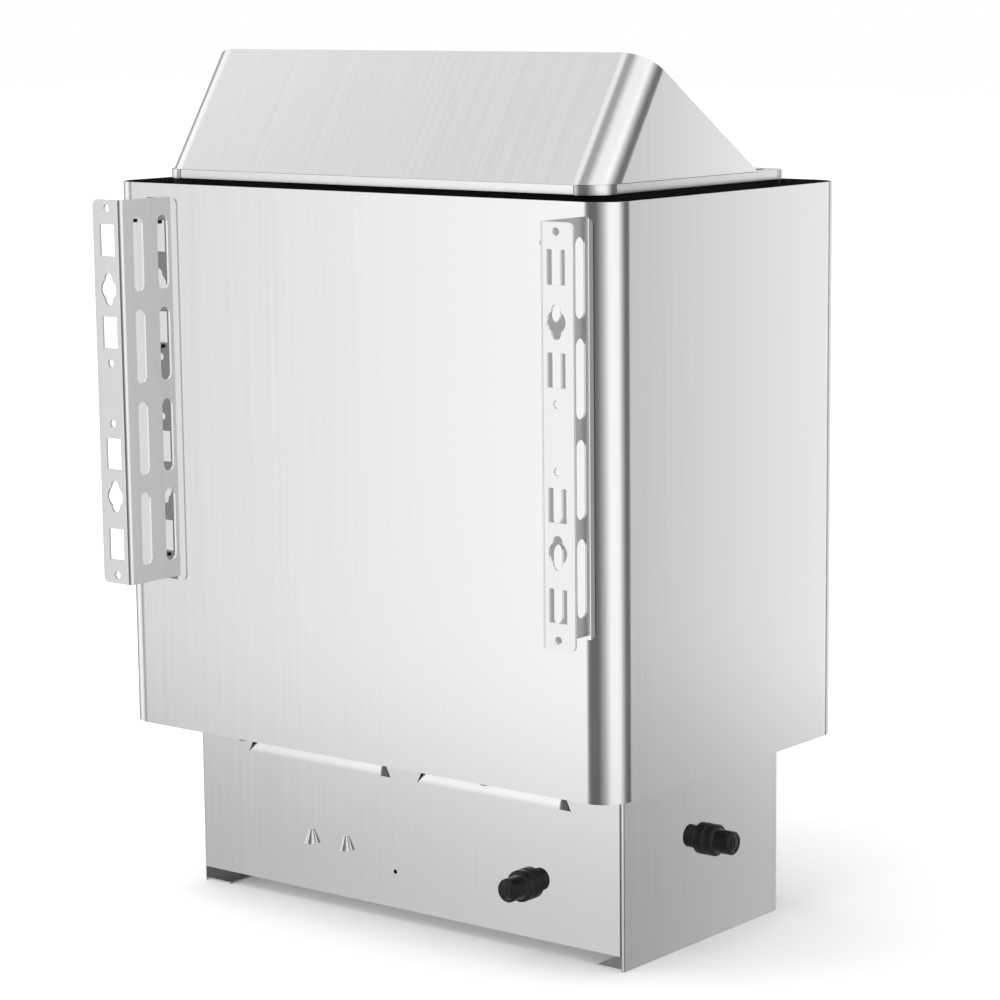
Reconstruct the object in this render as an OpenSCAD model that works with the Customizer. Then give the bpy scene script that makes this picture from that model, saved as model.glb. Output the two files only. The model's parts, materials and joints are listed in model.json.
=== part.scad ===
// Wall-hung electric sauna heater: brushed steel casing, stone compartment with hood,
// perforated wall rails at the back and an electrical base underneath.
// Millimetres, +Z up. The front faces -Y and the wall is on the +Y side.
// The origin lies under the middle of the casing, level with the undersides of the base.

/* [Casing] */
// Gap between the rim's ends and the casing's outer face
end_gap = 24.5; // [20:0.5:32]
// Gap between the rim's long sides and the casing's outer face
side_gap = 22; // [18:0.5:28]
// Height of the outer casing
casing_h = 363; // [330:1:420]
// Height of the casing's lower edge above the undersides of the base
casing_lift = 119; // [110:1:140]
// Outer radius of the casing's upright corners
casing_r = 20; // [14:1:28]
// Thickness of the bent sheet
sheet = 1.2; // [0.8:0.1:1.6]
// Width of the casing's inward bottom flange
casing_flange = 12; // [8:1:16]

/* [Stone compartment] */
// Width over the bright rim around the stones
rim_w = 361; // [340:1:375]
// Depth over the bright rim around the stones
rim_d = 209; // [196:1:218]
// Outer radius of the rim's corners
rim_r = 18; // [14:1:22]
// Height of the rim's upright band
rim_h = 6; // [4:0.5:10]
// Height of the rim's top above the casing
rim_rise = 8; // [7:0.5:14]
// Width of the rim's inward ledge
rim_ledge = 12; // [9:1:16]
// Gap at the rim's corner seams
seam = 0.4; // [0.2:0.1:0.8]
// Height of the element tray's deck above the carrier plate
deck_rise = 20; // [16:1:28]
// Thickness of carrier plate, deck and grate rails
plate = 1.5; // [1:0.1:2.5]
// Height of the radiation shield
shield_h = 328; // [280:1:340]

/* [Hood] */
// Lean of the hood's rear wall from upright, in degrees
hood_lean = 33; // [20:1:40]
// Slant length of the hood's rear wall
hood_len = 92; // [60:1:110]
// Outer bend radius between the hood's rear wall and cheeks
hood_r = 20; // [14:1:28]

/* [Base] */
// Step from the rim's ends in to the base's side panels
base_inset = 1; // [0:0.5:10]
// Step from the rim's rear in to the base's rear panel
rear_inset = 22.5; // [14:0.5:30]
// Step from the rim's front in to the base's front edges
front_inset = 19.5; // [12:0.5:28]
// Outer bend radius of the base's upright corners
base_r = 2.4; // [1.6:0.1:4]
// Height of the rear panel's lower edge above the side panels' undersides
rear_lift = 10; // [6:1:16]
// Width of the side panels' inward bottom flanges
foot_flange = 22; // [14:1:30]
// Depth of the front cover's folded edge
cover_d = 4.5; // [3:0.5:8]
// Height of the air notches' lower edge
notch_z = 97.6; // [88:0.1:102]
// Length of each air notch along its lower edge
notch_l = 125.5; // [100:0.5:130]
// Web between the two air notches at their lower edges
notch_web = 23; // [18:1:30]
// Sideways place of that web's middle
notch_mid = -2.5; // [-6:0.5:6]
// Height of each air notch
notch_h = 13; // [8:1:16]
// Narrowing of each end of a notch from its lower to its upper edge
notch_ramp = 6; // [3:0.5:7]
// Angle that the flap of a notch leans inwards
flap_lean = 26; // [15:1:35]
// Gap between a flap's end and the notch's end
flap_open = 3; // [2:0.5:5]
// Length of a flap's end that is turned further in
flap_turn = 7; // [4:0.5:9]
// Width of a raised cable-tie eye
eye_w = 11; // [8:1:16]
// Height of a raised cable-tie eye
eye_h = 9.5; // [6:0.5:14]
// Radius of the small drain hole
drain_r = 1.5; // [1:0.1:3]

/* [Wall rails] */
// Height of a wall rail
rail_h = 250; // [220:1:280]
// Height of the rails' middle
rail_mid = 349; // [330:1:365]
// Distance of the left rail's web from the casing's end
left_web_inset = 55.5; // [50:0.5:64]
// Distance of the right rail's web from the casing's end
right_web_inset = 16; // [12:0.5:22]
// Width of a rail's wall flange
flange_w = 25; // [20:1:32]
// Distance from the casing to the wall
wall_gap = 47; // [40:1:56]
// Thickness of the rail sheet
rail_t = 1.5; // [1:0.1:2]
// Width of a foot plate
foot_w = 28.5; // [26:0.5:32]
// Height of a foot plate
foot_h = 252; // [240:1:270]
// Height of the foot plates' middle
foot_mid = 347; // [340:1:355]
// How far a foot plate passes its rail's web on the right-hand side
foot_lip = 5; // [3:0.5:7]
// Radius of the rounded free corners
rail_r = 4; // [2:0.5:6]
// Radius of the round fixing holes
fix_r = 2.5; // [2:0.1:3.5]
// Distance of the outer fixing holes from the middle
fix_outer = 119.4; // [112:0.1:120]
// Distance of the inner fixing holes from the middle
fix_inner = 19.7; // [14:0.1:24]
// Width of the square-cornered windows
window_w = 13; // [9:0.5:16]
// Height of the square-cornered windows
window_h = 20.5; // [14:0.5:24]
// Distance of the outer windows from the middle
window_outer = 99; // [94:0.5:102]
// Distance of the inner windows from the middle
window_inner = 39.5; // [36:0.5:44]
// Radius of a keyhole's round middle
key_r = 6.75; // [5:0.25:8]
// Radius of a keyhole's end lobes
lobe_r = 3.5; // [2.5:0.25:4.5]
// Distance of the keyholes from the middle
key_at = 67.5; // [64:0.5:71]
// Length of the web's long slots
slot_l = 48; // [36:1:52]
// Width of the web's long slots
slot_w = 9.5; // [6:0.5:12]
// Distance of the outer slots from the middle
slot_outer = 89.5; // [84:0.5:94]
// Distance of the inner slots from the middle
slot_inner = 30; // [28:0.5:32]
// Bend radius of the curved slits lanced in the casing's back below two of the windows
lance_r = 5; // [4:0.5:6]
// Width of the lanced slits
lance_w = 1.2; // [0.6:0.1:1.6]
// Length of a lanced slit's straight part
lance_l = 6.6; // [4:0.2:8]
// Drop of a lanced slit's bend below the window's lower edge
lance_drop = 2; // [1:0.5:4]
// Radius of the headless screws in the casing's back
grub_r = 1.2; // [0.8:0.1:1.6]

/* [Heating] */
// Radius of a heating element's tube
element_r = 4; // [3:0.25:4.5]
// Gap between neighbouring elements, middle to middle
element_pitch = 55; // [48:1:60]
// Height of the elements' top bends above the deck
element_rise = 290; // [240:1:310]
// Height of the elements' lower bend above the deck
element_dip = 48; // [40:1:80]
// Gap between neighbouring grate rods, middle to middle
rod_pitch = 18; // [16:1:20]
// Radius of a grate rod
rod_r = 3; // [2:0.5:4]
// Height of the grate's rails above the deck
grate_rise = 14; // [8:1:20]

/* [Controls] */
// Sideways place of the two knobs from the middle
knob_x = 62; // [46:1:80]
// Height of the knobs
knob_z = 64; // [54:1:72]
// Radius of a knob
knob_r = 19; // [14:1:24]
// Length of a knob
knob_h = 19; // [14:1:22]
// Radius of a control shaft
shaft_r = 3; // [2.5:0.1:4]
// Running gap round a shaft
run_gap = 0.06; // [0.03:0.01:0.09]
// Radius of the reset button
button_r = 4; // [3:0.25:6]
// Travel of the reset button
button_travel = 3; // [2:0.5:4]

/* [Cable glands] */
// Sideways place of the rear gland
rear_gland_x = -115; // [-130:1:-90]
// Height of the rear gland
rear_gland_z = 50; // [36:1:64]
// Place of the side gland behind the casing's middle
side_gland_y = 10; // [-20:1:30]
// Height of the side gland
side_gland_z = 73; // [50:1:84]
// Radius of a gland's threaded neck
neck_r = 7.3; // [6:0.1:8.5]
// Length of a gland's neck outside the panel
neck_l = 9; // [6:0.5:12]
// Radius of a gland's collars
collar_r = 10.2; // [9.4:0.1:12]
// Thickness of a gland's collars
collar_l = 6; // [4:0.5:8]
// Groove between a gland's collars
groove_l = 1.5; // [1:0.25:3]
// Length of a gland's outlet
outlet_l = 12; // [8:0.5:16]

/* [Hidden] */

// Smoothness of arcs
round_fn = 64;
small_fn = 32;
// Overrun of every cut
over = 2;
// Gap at a seat between nested pieces of one assembly
seat = 0.3;
// Number of sides of a nut
hex = 6;

// Plan sizes, all from the rim round the stones
casing_w = rim_w + 2 * end_gap;
casing_d = rim_d + 2 * side_gap;
base_w = rim_w - 2 * base_inset;
base_rear = rim_d / 2 - rear_inset;
base_front = rim_d / 2 - front_inset;
left_web_x = casing_w / 2 - left_web_inset;
right_web_x = right_web_inset - casing_w / 2;

// Levels of the stack, from the undersides of the base upwards
casing_top = casing_lift + casing_h;
rim_top = casing_top + rim_rise;
carrier_z = casing_lift + sheet;
carrier_top = carrier_z + plate;
deck_top = carrier_top + deck_rise;
deck_low = deck_top - plate;
grate_z = deck_top + grate_rise;

// Half sizes shared by the nested shells
jacket_w = rim_w - 2 * sheet - 2 * seat;
jacket_d = rim_d - 2 * sheet - 2 * seat;
jacket_r = rim_r - sheet - seat;
inner_w = jacket_w - 2 * sheet;
inner_d = jacket_d - 2 * sheet;
casing_in_w = casing_w - 2 * sheet;
casing_in_d = casing_d - 2 * sheet;
shield_w = (jacket_w + casing_in_w) / 2 + sheet;
shield_d = (jacket_d + casing_in_d) / 2 + sheet;
shield_r = (jacket_r + casing_r) / 2;
base_in_w = base_w - 2 * sheet;
cover_front = -base_front - cover_d;
cover_back = cover_front + sheet;
cover_h = casing_lift - seat;

// The heating elements
leg_x = 7 * rod_pitch;
bend_r = leg_x / 5;
element_top = deck_top + element_rise;
element_low = deck_top + element_dip;
terminal_z = carrier_z - 12 * sheet;
element_y = [-element_pitch, 0, element_pitch];
comb_z = (element_top + element_low) / 2;

// The wall rails
casing_back = casing_d / 2;
foot_y = casing_back + rail_t;
wall_y = casing_back + wall_gap;
slot_near_y = foot_y + slot_w / 2 + 2 * rail_t;
slot_far_y = wall_y - rail_t - slot_w / 2 - 6 * rail_t;
lance_rises = [window_inner - window_h / 2, -window_outer - window_h / 2];
grub_near = flange_w / 2 - grub_r;
grub_top = window_outer + window_h / 2 - grub_r;
open_grubs = [
    [grub_near, grub_top],
    [grub_near + slot_far_y - slot_near_y, grub_top],
    [grub_near + lance_r, window_outer + 2 * grub_r]
];
plate_grubs = [for (rise = lance_rises) [flange_w / 2 - lance_r / 2, rise - 2 * grub_r]];
foot_screw_r = fix_r * 0.8;
screw_head_r = fix_r * 1.7;
screw_head_h = fix_r * 0.8;
small_screw_r = fix_r * 0.6;
tab_w = 12 * sheet;

// The electrics, on the wiring cover
electric_z = rear_lift + 2 * sheet;
stud_r = element_r / 2;
stud_l = 3 * element_r;
link_z = terminal_z - stud_l * 0.6;
lead_r = element_r / 2;
lead_bend = 4 * lead_r;
block_cells = 5;
block_pitch = 15;
block_w = 30;
block_h = 26;
clamp_r = block_pitch / 5;

// The thermostat's capillary and bulb
tube_r = 1;
tube_bend = 8;
bulb_r = 3;
bulb_l = 60;
sensor_x = inner_w / 2 - bulb_r - seat;
sensor_y = element_pitch;
bulb_z = comb_z;

// The controls
knob_gap = sheet;
knob_back = cover_front - knob_gap;
knob_front = knob_back - knob_h;
control_r = knob_r * 1.4;
control_l = knob_h * 1.8;
skirt_h = knob_h / 6;
button_z = knob_z - knob_r / 2;

// The glands
spigot_r = neck_r - seat;
nut_in_r = spigot_r + run_gap;
outlet_r = neck_r + seat;
plug_r = outlet_r - 2 * sheet;
plug_slot = sheet;
edge = sheet;
gland_hole_r = neck_r + run_gap;
locknut_l = collar_l * 0.8;
seal_l = sheet;
shank_l = sheet + locknut_l + seal_l;

// Flat outlines and bars used by several pieces

module rounded_plan(w, d, r) {
    square([w - 2 * r, d], center = true);
    square([w, d - 2 * r], center = true);
    for (sx = [-1, 1], sy = [-1, 1]) {
        translate([sx * (w / 2 - r), sy * (d / 2 - r)]) circle(r = r, $fn = round_fn);
    }
}

module ring_plan(w, d, r, wall) {
    difference() {
        rounded_plan(w, d, r);
        rounded_plan(w - 2 * wall, d - 2 * wall, r - wall);
    }
}

module slot_plan(l, w) {
    square([l - w, w], center = true);
    for (s = [-1, 1]) translate([s * (l - w) / 2, 0]) circle(d = w, $fn = small_fn);
}

// A bar along X centred on its start face, then laid along +Y
module rod_y(r, l) {
    rotate([-90, 0, 0]) cylinder(r = r, h = l, $fn = small_fn);
}

module pan_screw(r, head_r, head_h, shank) {
    difference() {
        cylinder(r = head_r, h = head_h, $fn = small_fn);
        translate([0, 0, head_h]) cube([2 * head_r, r / 2, head_h], center = true);
    }
    translate([0, 0, -shank]) cylinder(r = r, h = shank, $fn = small_fn);
}

// The casing and what it stands on

module outer_casing() {
    color("#d9dadb") difference() {
        union() {
            translate([0, 0, casing_lift]) linear_extrude(casing_h)
                ring_plan(casing_w, casing_d, casing_r, sheet);
            translate([0, 0, casing_lift]) linear_extrude(sheet)
                ring_plan(casing_w, casing_d, casing_r, casing_flange);
        }
        foot_screw_places() rod_y(foot_screw_r + run_gap, 2 * sheet + over);
        back_screw_places(concat(open_grubs, plate_grubs)) rod_y(grub_r + run_gap, 2 * sheet + over);
        lance_places() rotate([90, 0, 0]) linear_extrude(sheet + 2 * over) lance_plan();
        casing_screw_places() translate([0, 0, -over])
            cylinder(r = fix_r + run_gap, h = sheet + 2 * over, $fn = small_fn);
    }
}

// Curved slits that free a small tongue of the casing's back below two windows of each foot plate
module lance_places() {
    for (web = [left_web_x, right_web_x], rise = lance_rises)
        translate([web + grub_near, casing_back + over, rail_mid + rise - lance_drop]) children();
}

module lance_plan() {
    translate([lance_r - lance_w, 0]) square([lance_w, lance_l]);
    intersection() {
        difference() {
            circle(r = lance_r, $fn = round_fn);
            circle(r = lance_r - lance_w, $fn = round_fn);
        }
        translate([0, -lance_r]) square([lance_r, lance_r]);
    }
}

// Air slots of the carrier plate, in the ring between base and casing
module air_slots() {
    side_x = (base_w + shield_w) / 4;
    rear_y = (base_rear + shield_d / 2) / 2;
    front_y = -(base_front + cover_d + shield_d / 2) / 2;
    run = base_in_w / 5;
    for (i = [-2 : 2]) {
        translate([i * run, rear_y]) slot_plan(run - 10 * sheet, casing_flange);
        translate([i * run, front_y]) slot_plan(run - 10 * sheet, casing_flange / 2);
    }
    for (s = [-1, 1], j = [-1, 1]) {
        translate([s * (shield_w / 2 - casing_flange / 2), j * casing_d / 7])
            rotate([0, 0, 90]) slot_plan(casing_d / 4, casing_flange / 3);
    }
}

module carrier_plate() {
    color("#b9bcbf") translate([0, 0, carrier_z]) difference() {
        linear_extrude(plate) difference() {
            rounded_plan(casing_in_w - 2 * seat, casing_in_d - 2 * seat, casing_r - sheet - seat);
            square([2 * leg_x + 8 * element_r, 2 * element_pitch + 8 * element_r], center = true);
            translate([sensor_x, sensor_y]) circle(r = tube_r + run_gap, $fn = small_fn);
            air_slots();
        }
        translate([0, 0, -carrier_z]) casing_screw_places() translate([0, 0, -over])
            cylinder(r = fix_r + run_gap, h = sheet + plate + 2 * over, $fn = small_fn);
    }
}

module casing_screw_places() {
    inset = casing_flange / 2;
    for (sx = [-1, 1], sy = [-1, 1]) {
        translate([sx * casing_w / 4, sy * (casing_d / 2 - inset), casing_lift]) children();
    }
}

module casing_screws() {
    color("#9c9ea0") casing_screw_places() mirror([0, 0, 1])
        pan_screw(fix_r, screw_head_r, screw_head_h, sheet + plate);
}

// The electrical base

module notch_cut() {
    low = notch_l / 2;
    high = low - notch_ramp;
    translate([0, base_rear + over, notch_z]) rotate([90, 0, 0]) linear_extrude(sheet + 2 * over)
        polygon([[-low, 0], [low, 0], [high, notch_h], [-high, notch_h]]);
}

// The sheet cut free in a notch, leaning inwards from the notch's lower edge
module notch_flap() {
    low = notch_l / 2;
    high = low - notch_ramp;
    bend_x = flap_open + flap_turn - low;
    end_y = -flap_turn / 2;
    translate([0, base_rear, notch_z]) rotate([flap_lean, 0, 0]) intersection() {
        linear_extrude(notch_h) polygon([
            [low, 0], [bend_x, 0], [-low, end_y], [-low, end_y - sheet], [bend_x, -sheet], [low, -sheet]
        ]);
        translate([0, over, 0]) rotate([90, 0, 0]) linear_extrude(flap_turn + 2 * over) polygon([
            [flap_open - low, 0], [low - seat, 0], [high - seat, notch_h], [flap_open - high, notch_h]
        ]);
    }
}

module tie_eye(at_x) {
    mid_z = casing_lift * 0.4;
    apex_r = sheet / 2;
    translate([at_x, base_rear, mid_z - eye_h / 2]) intersection() {
        difference() {
            cylinder(r1 = eye_w / 2, r2 = apex_r + sheet, h = eye_h, $fn = small_fn);
            translate([0, 0, -sheet]) cylinder(r1 = eye_w / 2, r2 = apex_r, h = eye_h, $fn = small_fn);
        }
        translate([-eye_w, -sheet, 0]) cube([2 * eye_w, eye_w, eye_h]);
    }
}

module eye_mouth(at_x) {
    mid_z = casing_lift * 0.4;
    translate([at_x, base_rear - sheet, mid_z - eye_h / 2])
        cylinder(r1 = eye_w / 2 - sheet, r2 = sheet / 4, h = eye_h - 2 * sheet, $fn = small_fn);
}

// Rear and side panels in plan, one sheet bent round its two rear corners
module base_wrap_plan() {
    depth = base_rear + base_front;
    difference() {
        translate([0, base_rear - depth]) rounded_plan(base_w, 2 * depth, base_r);
        translate([0, base_rear - depth]) rounded_plan(base_in_w, 2 * (depth - sheet), base_r - sheet);
        translate([-base_w / 2 - over, -base_front - 2 * depth]) square([base_w + 2 * over, 2 * depth]);
    }
}

module base_shell() {
    notch_x = (notch_l + notch_web) / 2;
    eye_x = [base_w * 0.22, base_w * 0.135];
    depth = base_rear + base_front;
    color("#d2d4d6") difference() {
        union() {
            difference() {
                linear_extrude(carrier_z) base_wrap_plan();
                translate([-base_in_w / 2, base_rear - sheet - over, -over])
                    cube([base_in_w, sheet + 2 * over, rear_lift + over]);
                for (s = [-1, 1]) translate([notch_mid + s * notch_x, 0, 0]) notch_cut();
                for (x = eye_x) eye_mouth(x);
            }
            for (s = [0, 1]) mirror([s, 0, 0]) {
                translate([-base_w / 2, -base_front, 0]) cube([foot_flange, depth - base_r, sheet]);
                translate([-base_w / 2, -base_front, 0]) cube([tab_w, sheet, cover_h - 2 * sheet]);
            }
            translate([base_r - base_w / 2, base_rear - casing_flange, rear_lift])
                cube([base_w - 2 * base_r, casing_flange, sheet]);
            translate([-base_in_w / 2, -base_front, rear_lift])
                cube([base_in_w, casing_flange, sheet]);
            for (s = [-1, 1]) translate([notch_mid + s * notch_x, 0, 0]) notch_flap();
            for (x = eye_x) tie_eye(x);
        }
        translate([sheet * 5, base_rear - sheet - over, casing_lift * 0.29]) rod_y(drain_r, sheet + 2 * over);
        translate([rear_gland_x, base_rear - sheet - over, rear_gland_z])
            rod_y(gland_hole_r, sheet + 2 * over);
        translate([-base_w / 2 - over, side_gland_y, side_gland_z]) rotate([0, 90, 0])
            cylinder(r = gland_hole_r, h = sheet + 2 * over, $fn = small_fn);
        wiring_screw_places() translate([0, 0, -over])
            cylinder(r = small_screw_r + run_gap, h = sheet + 2 * over, $fn = small_fn);
        cover_screw_places() rod_y(small_screw_r + run_gap, cover_d + sheet + over);
    }
}

module wiring_screw_places() {
    for (s = [-1, 1]) {
        translate([s * base_w / 3, base_rear - casing_flange * 0.6, rear_lift]) children();
        translate([s * base_w / 3, -base_front + casing_flange * 0.6, rear_lift]) children();
    }
}

module wiring_cover() {
    depth = base_rear + base_front - 2 * sheet - 2 * seat;
    color("#c4c6c8") difference() {
        translate([0, -base_front + sheet + seat + depth / 2, rear_lift + sheet])
            linear_extrude(sheet) rounded_plan(base_in_w - 2 * seat, depth, base_r);
        wiring_screw_places() translate([0, 0, -over])
            cylinder(r = small_screw_r + run_gap, h = 2 * sheet + 2 * over, $fn = small_fn);
    }
}

module cover_screw_places() {
    for (sx = [-1, 1], z = [tab_w, cover_h - tab_w])
        translate([sx * (base_w / 2 - tab_w * 0.6), cover_front, z]) children();
}

module base_front_cover() {
    color("#d2d4d6") difference() {
        translate([-base_w / 2, cover_front, 0]) cube([base_w, cover_d, cover_h]);
        translate([-base_in_w / 2, cover_back, sheet]) cube([base_in_w, cover_d + over, cover_h - 2 * sheet]);
        for (s = [-1, 1]) translate([s * knob_x, cover_front - over, knob_z])
            rod_y(shaft_r * 2, cover_d + 2 * over);
        translate([0, cover_front - over, button_z]) rod_y(button_r + run_gap * 5, cover_d + 2 * over);
        cover_screw_places() translate([0, -over, 0]) rod_y(small_screw_r + run_gap, cover_d + 2 * over);
    }
}

// Front cover and wiring cover screws, one kind of small pan head
module cover_screws() {
    r = small_screw_r;
    color("#8f9193") {
        wiring_screw_places() mirror([0, 0, 1]) pan_screw(r, 2 * r, r, 2 * sheet);
        cover_screw_places() rotate([90, 0, 0]) pan_screw(r, 2 * r, r, cover_d + sheet);
    }
}

// The stone compartment

module jacket_vents() {
    run = inner_w / 12;
    for (i = [-5 : 5], sy = [-1, 1]) {
        translate([i * run, sy * jacket_d / 2, carrier_top + deck_rise / 2]) rotate([90, 0, 0])
            linear_extrude(4 * sheet, center = true) slot_plan(run / 2, deck_rise / 4);
    }
}

module stone_jacket() {
    color("#4b4d50") difference() {
        translate([0, 0, carrier_top]) linear_extrude(rim_top - sheet - carrier_top)
            ring_plan(jacket_w, jacket_d, jacket_r, sheet);
        jacket_vents();
    }
}

// Deck that holds the elements, folded down at its long sides to stand on the carrier plate
module element_tray() {
    w = inner_w - 2 * jacket_r;
    d = inner_d - 2 * seat;
    color("#8c8f92") difference() {
        translate([-w / 2, -d / 2, carrier_top]) cube([w, d, deck_rise]);
        translate([-w / 2 - over, -d / 2 + plate, carrier_top - over])
            cube([w + 2 * over, d - 2 * plate, deck_rise - plate + over]);
        for (y = element_y, s = [-1, 1]) translate([s * leg_x, y, deck_low - over])
            cylinder(r = element_r + run_gap, h = plate + 2 * over, $fn = small_fn);
        for (i = [-2 : 2], j = [-1, 1]) translate([i * leg_x / 3, j * element_pitch / 2, deck_low - over])
            linear_extrude(plate + 2 * over) slot_plan(leg_x / 4, element_r * 2);
    }
}

module heat_shield() {
    color("#9a9da0") translate([0, 0, carrier_top]) linear_extrude(shield_h)
        ring_plan(shield_w, shield_d, shield_r, sheet);
}

// Bent strips that hold jacket and casing apart above the shield
module spacer(gap) {
    wide = casing_flange;
    tab = casing_flange;
    translate([-wide / 2, 0, 0]) {
        cube([wide, gap, sheet]);
        cube([wide, sheet, tab]);
        translate([0, gap - sheet, 0]) cube([wide, sheet, tab]);
    }
}

module spacer_brackets() {
    z = carrier_top + shield_h;
    gap_y = (casing_in_d - jacket_d) / 2;
    gap_x = (casing_in_w - jacket_w) / 2;
    color("#a2a4a6") {
        for (s = [-1, 1], m = [0, 1]) mirror([0, m, 0])
            translate([s * jacket_w / 4, jacket_d / 2, z]) spacer(gap_y);
        for (m = [0, 1]) mirror([m, 0, 0])
            translate([jacket_w / 2, 0, z]) rotate([0, 0, -90]) spacer(gap_x);
    }
}

module grate_rails() {
    l = inner_w - 2 * jacket_r;
    leg = grate_rise - 2 * sheet;
    color("#7b7e81") for (m = [0, 1]) mirror([0, m, 0]) translate([-l / 2, inner_d / 2 - leg, grate_z]) {
        cube([l, leg, sheet]);
        translate([0, leg - sheet, -leg]) cube([l, sheet, leg + sheet]);
    }
}

module stone_grate() {
    rod_l = inner_d - 4 * rod_r;
    z = grate_z + sheet + rod_r;
    count = floor((inner_w / 2 - jacket_r) / rod_pitch - 0.5);
    color("#6e7174") {
        for (i = [0 : count], s = [-1, 1]) translate([s * (i + 0.5) * rod_pitch, -rod_l / 2, z])
            rod_y(rod_r, rod_l);
        for (s = [-1, 1])
            translate([-(count + 0.5) * rod_pitch - rod_r, s * element_pitch * 1.4 - rod_r / 2, z - rod_r])
                cube([(2 * count + 1) * rod_pitch + 2 * rod_r, rod_r, rod_r]);
    }
}

// The bright rim and the hood

module rim_section() {
    square([sheet, rim_h]);
    translate([-rim_ledge + sheet, rim_h - sheet]) square([rim_ledge, sheet]);
}

module rim_rail(l) {
    rotate([90, 0, 0]) linear_extrude(l, center = true) translate([-sheet, 0]) rim_section();
}

module rim_rails() {
    z = rim_top - rim_h;
    color("#e4e5e6") {
        for (m = [0, 1]) mirror([m, 0, 0]) translate([rim_w / 2, 0, z]) rim_rail(rim_d - 2 * rim_r - 2 * seam);
        for (m = [0, 1]) mirror([0, m, 0]) translate([0, rim_d / 2, z]) rotate([0, 0, 90])
            rim_rail(rim_w - 2 * rim_r - 2 * seam);
    }
}

module rim_corners() {
    z = rim_top - rim_h;
    color("#eceded") for (mx = [0, 1], my = [0, 1]) mirror([mx, 0, 0]) mirror([0, my, 0])
        translate([rim_w / 2 - rim_r, rim_d / 2 - rim_r, z]) rotate_extrude(angle = 90, $fn = round_fn)
            translate([rim_r - sheet, 0]) rim_section();
}

// One sheet bent round its two corners, leaning forward and cut square at the top
module hood() {
    reach = hood_len / tan(hood_lean) + hood_r;
    color("#dcddde") intersection() {
        translate([0, rim_d / 2, rim_top]) rotate([hood_lean, 0, 0]) linear_extrude(hood_len)
            difference() {
                translate([0, -reach / 2 - hood_r]) rounded_plan(rim_w, reach + 2 * hood_r, hood_r);
                translate([0, -reach / 2 - hood_r]) rounded_plan(
                    rim_w - 2 * sheet, reach + 2 * hood_r - 2 * sheet, hood_r - sheet
                );
                translate([-rim_w / 2 - over, -2 * reach - 2 * hood_r])
                    square([rim_w + 2 * over, reach + hood_r]);
            }
        translate([-rim_w, -rim_d, rim_top]) cube([2 * rim_w, 2 * rim_d, hood_len]);
    }
}

// The heating elements: one tube each, bent into three hairpins

module half_bend(r) {
    rotate([90, 0, 0]) rotate_extrude(angle = 180, $fn = round_fn)
        translate([r, 0]) circle(r = element_r, $fn = small_fn);
}

module heating_element(at_y) {
    long = element_top - bend_r - terminal_z;
    short = element_top - bend_r - element_low - bend_r;
    color("#5c5654") translate([0, at_y, 0]) {
        for (s = [-1, 1]) {
            translate([s * leg_x, 0, terminal_z]) cylinder(r = element_r, h = long, $fn = small_fn);
            for (i = [1, 3]) translate([s * i * bend_r, 0, element_low + bend_r])
                cylinder(r = element_r, h = short, $fn = small_fn);
            translate([s * 2 * bend_r, 0, element_low + bend_r]) mirror([0, 0, 1]) half_bend(bend_r);
        }
        for (i = [-1 : 1]) translate([i * 4 * bend_r, 0, element_top - bend_r]) half_bend(bend_r);
    }
}

// Hexagon bushes that clamp the elements' legs to the deck
module element_bushes() {
    h = element_r;
    color("#b08d4c") for (y = element_y, s = [-1, 1]) translate([s * leg_x, y, 0]) {
        translate([0, 0, deck_top]) bush(h);
        translate([0, 0, deck_low - h]) bush(h);
    }
}

module bush(h) {
    difference() {
        cylinder(r = 2 * element_r, h = h, $fn = hex);
        translate([0, 0, -over]) cylinder(r = element_r + run_gap, h = h + 2 * over, $fn = small_fn);
    }
}

// Flat combs that keep the legs of neighbouring elements apart
module element_combs() {
    w = 4 * element_r;
    l = 2 * element_pitch + w;
    color("#77797b") for (s = [-1, 1]) translate([s * leg_x, 0, comb_z]) difference() {
        linear_extrude(plate) rotate([0, 0, 90]) slot_plan(l, w);
        for (y = element_y) translate([0, y, -over])
            cylinder(r = element_r + run_gap, h = plate + 2 * over, $fn = small_fn);
    }
}

module element_terminals() {
    color("#cfa45a") for (y = element_y, s = [-1, 1]) translate([s * leg_x, y, terminal_z]) {
        translate([0, 0, -stud_l]) cylinder(r = stud_r, h = stud_l, $fn = small_fn);
        translate([0, 0, link_z - terminal_z - stud_r]) cylinder(r = element_r, h = stud_r, $fn = hex);
        translate([0, 0, -stud_r / 2]) cylinder(r = element_r, h = stud_r / 2, $fn = small_fn);
    }
}

// The electrics on the wiring cover

module block_cell_places() {
    for (i = [0 : block_cells - 1])
        translate([-leg_x, (i - (block_cells - 1) / 2) * block_pitch, electric_z]) children();
}

module terminal_block() {
    l = (block_cells + 0.6) * block_pitch;
    color("#e8e4d8") difference() {
        translate([-leg_x - block_w / 2, -l / 2, electric_z]) cube([block_w, l, block_h]);
        block_cell_places() {
            for (s = [-1, 1]) translate([s * block_w / 4, 0, block_h / 2])
                cylinder(r = clamp_r + run_gap, h = block_h, $fn = small_fn);
            translate([0, 0, block_h / 2]) cylinder(r = lead_r + run_gap, h = block_h, $fn = small_fn);
            translate([-block_w / 2 - over, 0, block_h / 4]) rotate([0, 90, 0])
                cylinder(r = lead_r * 1.2, h = block_w + 2 * over, $fn = small_fn);
        }
        for (i = [1 : block_cells - 1]) translate([
            -leg_x - block_w / 2 - over, (i - block_cells / 2) * block_pitch - sheet / 2,
            electric_z + block_h * 0.7
        ]) cube([block_w + 2 * over, sheet, block_h]);
    }
}

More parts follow.
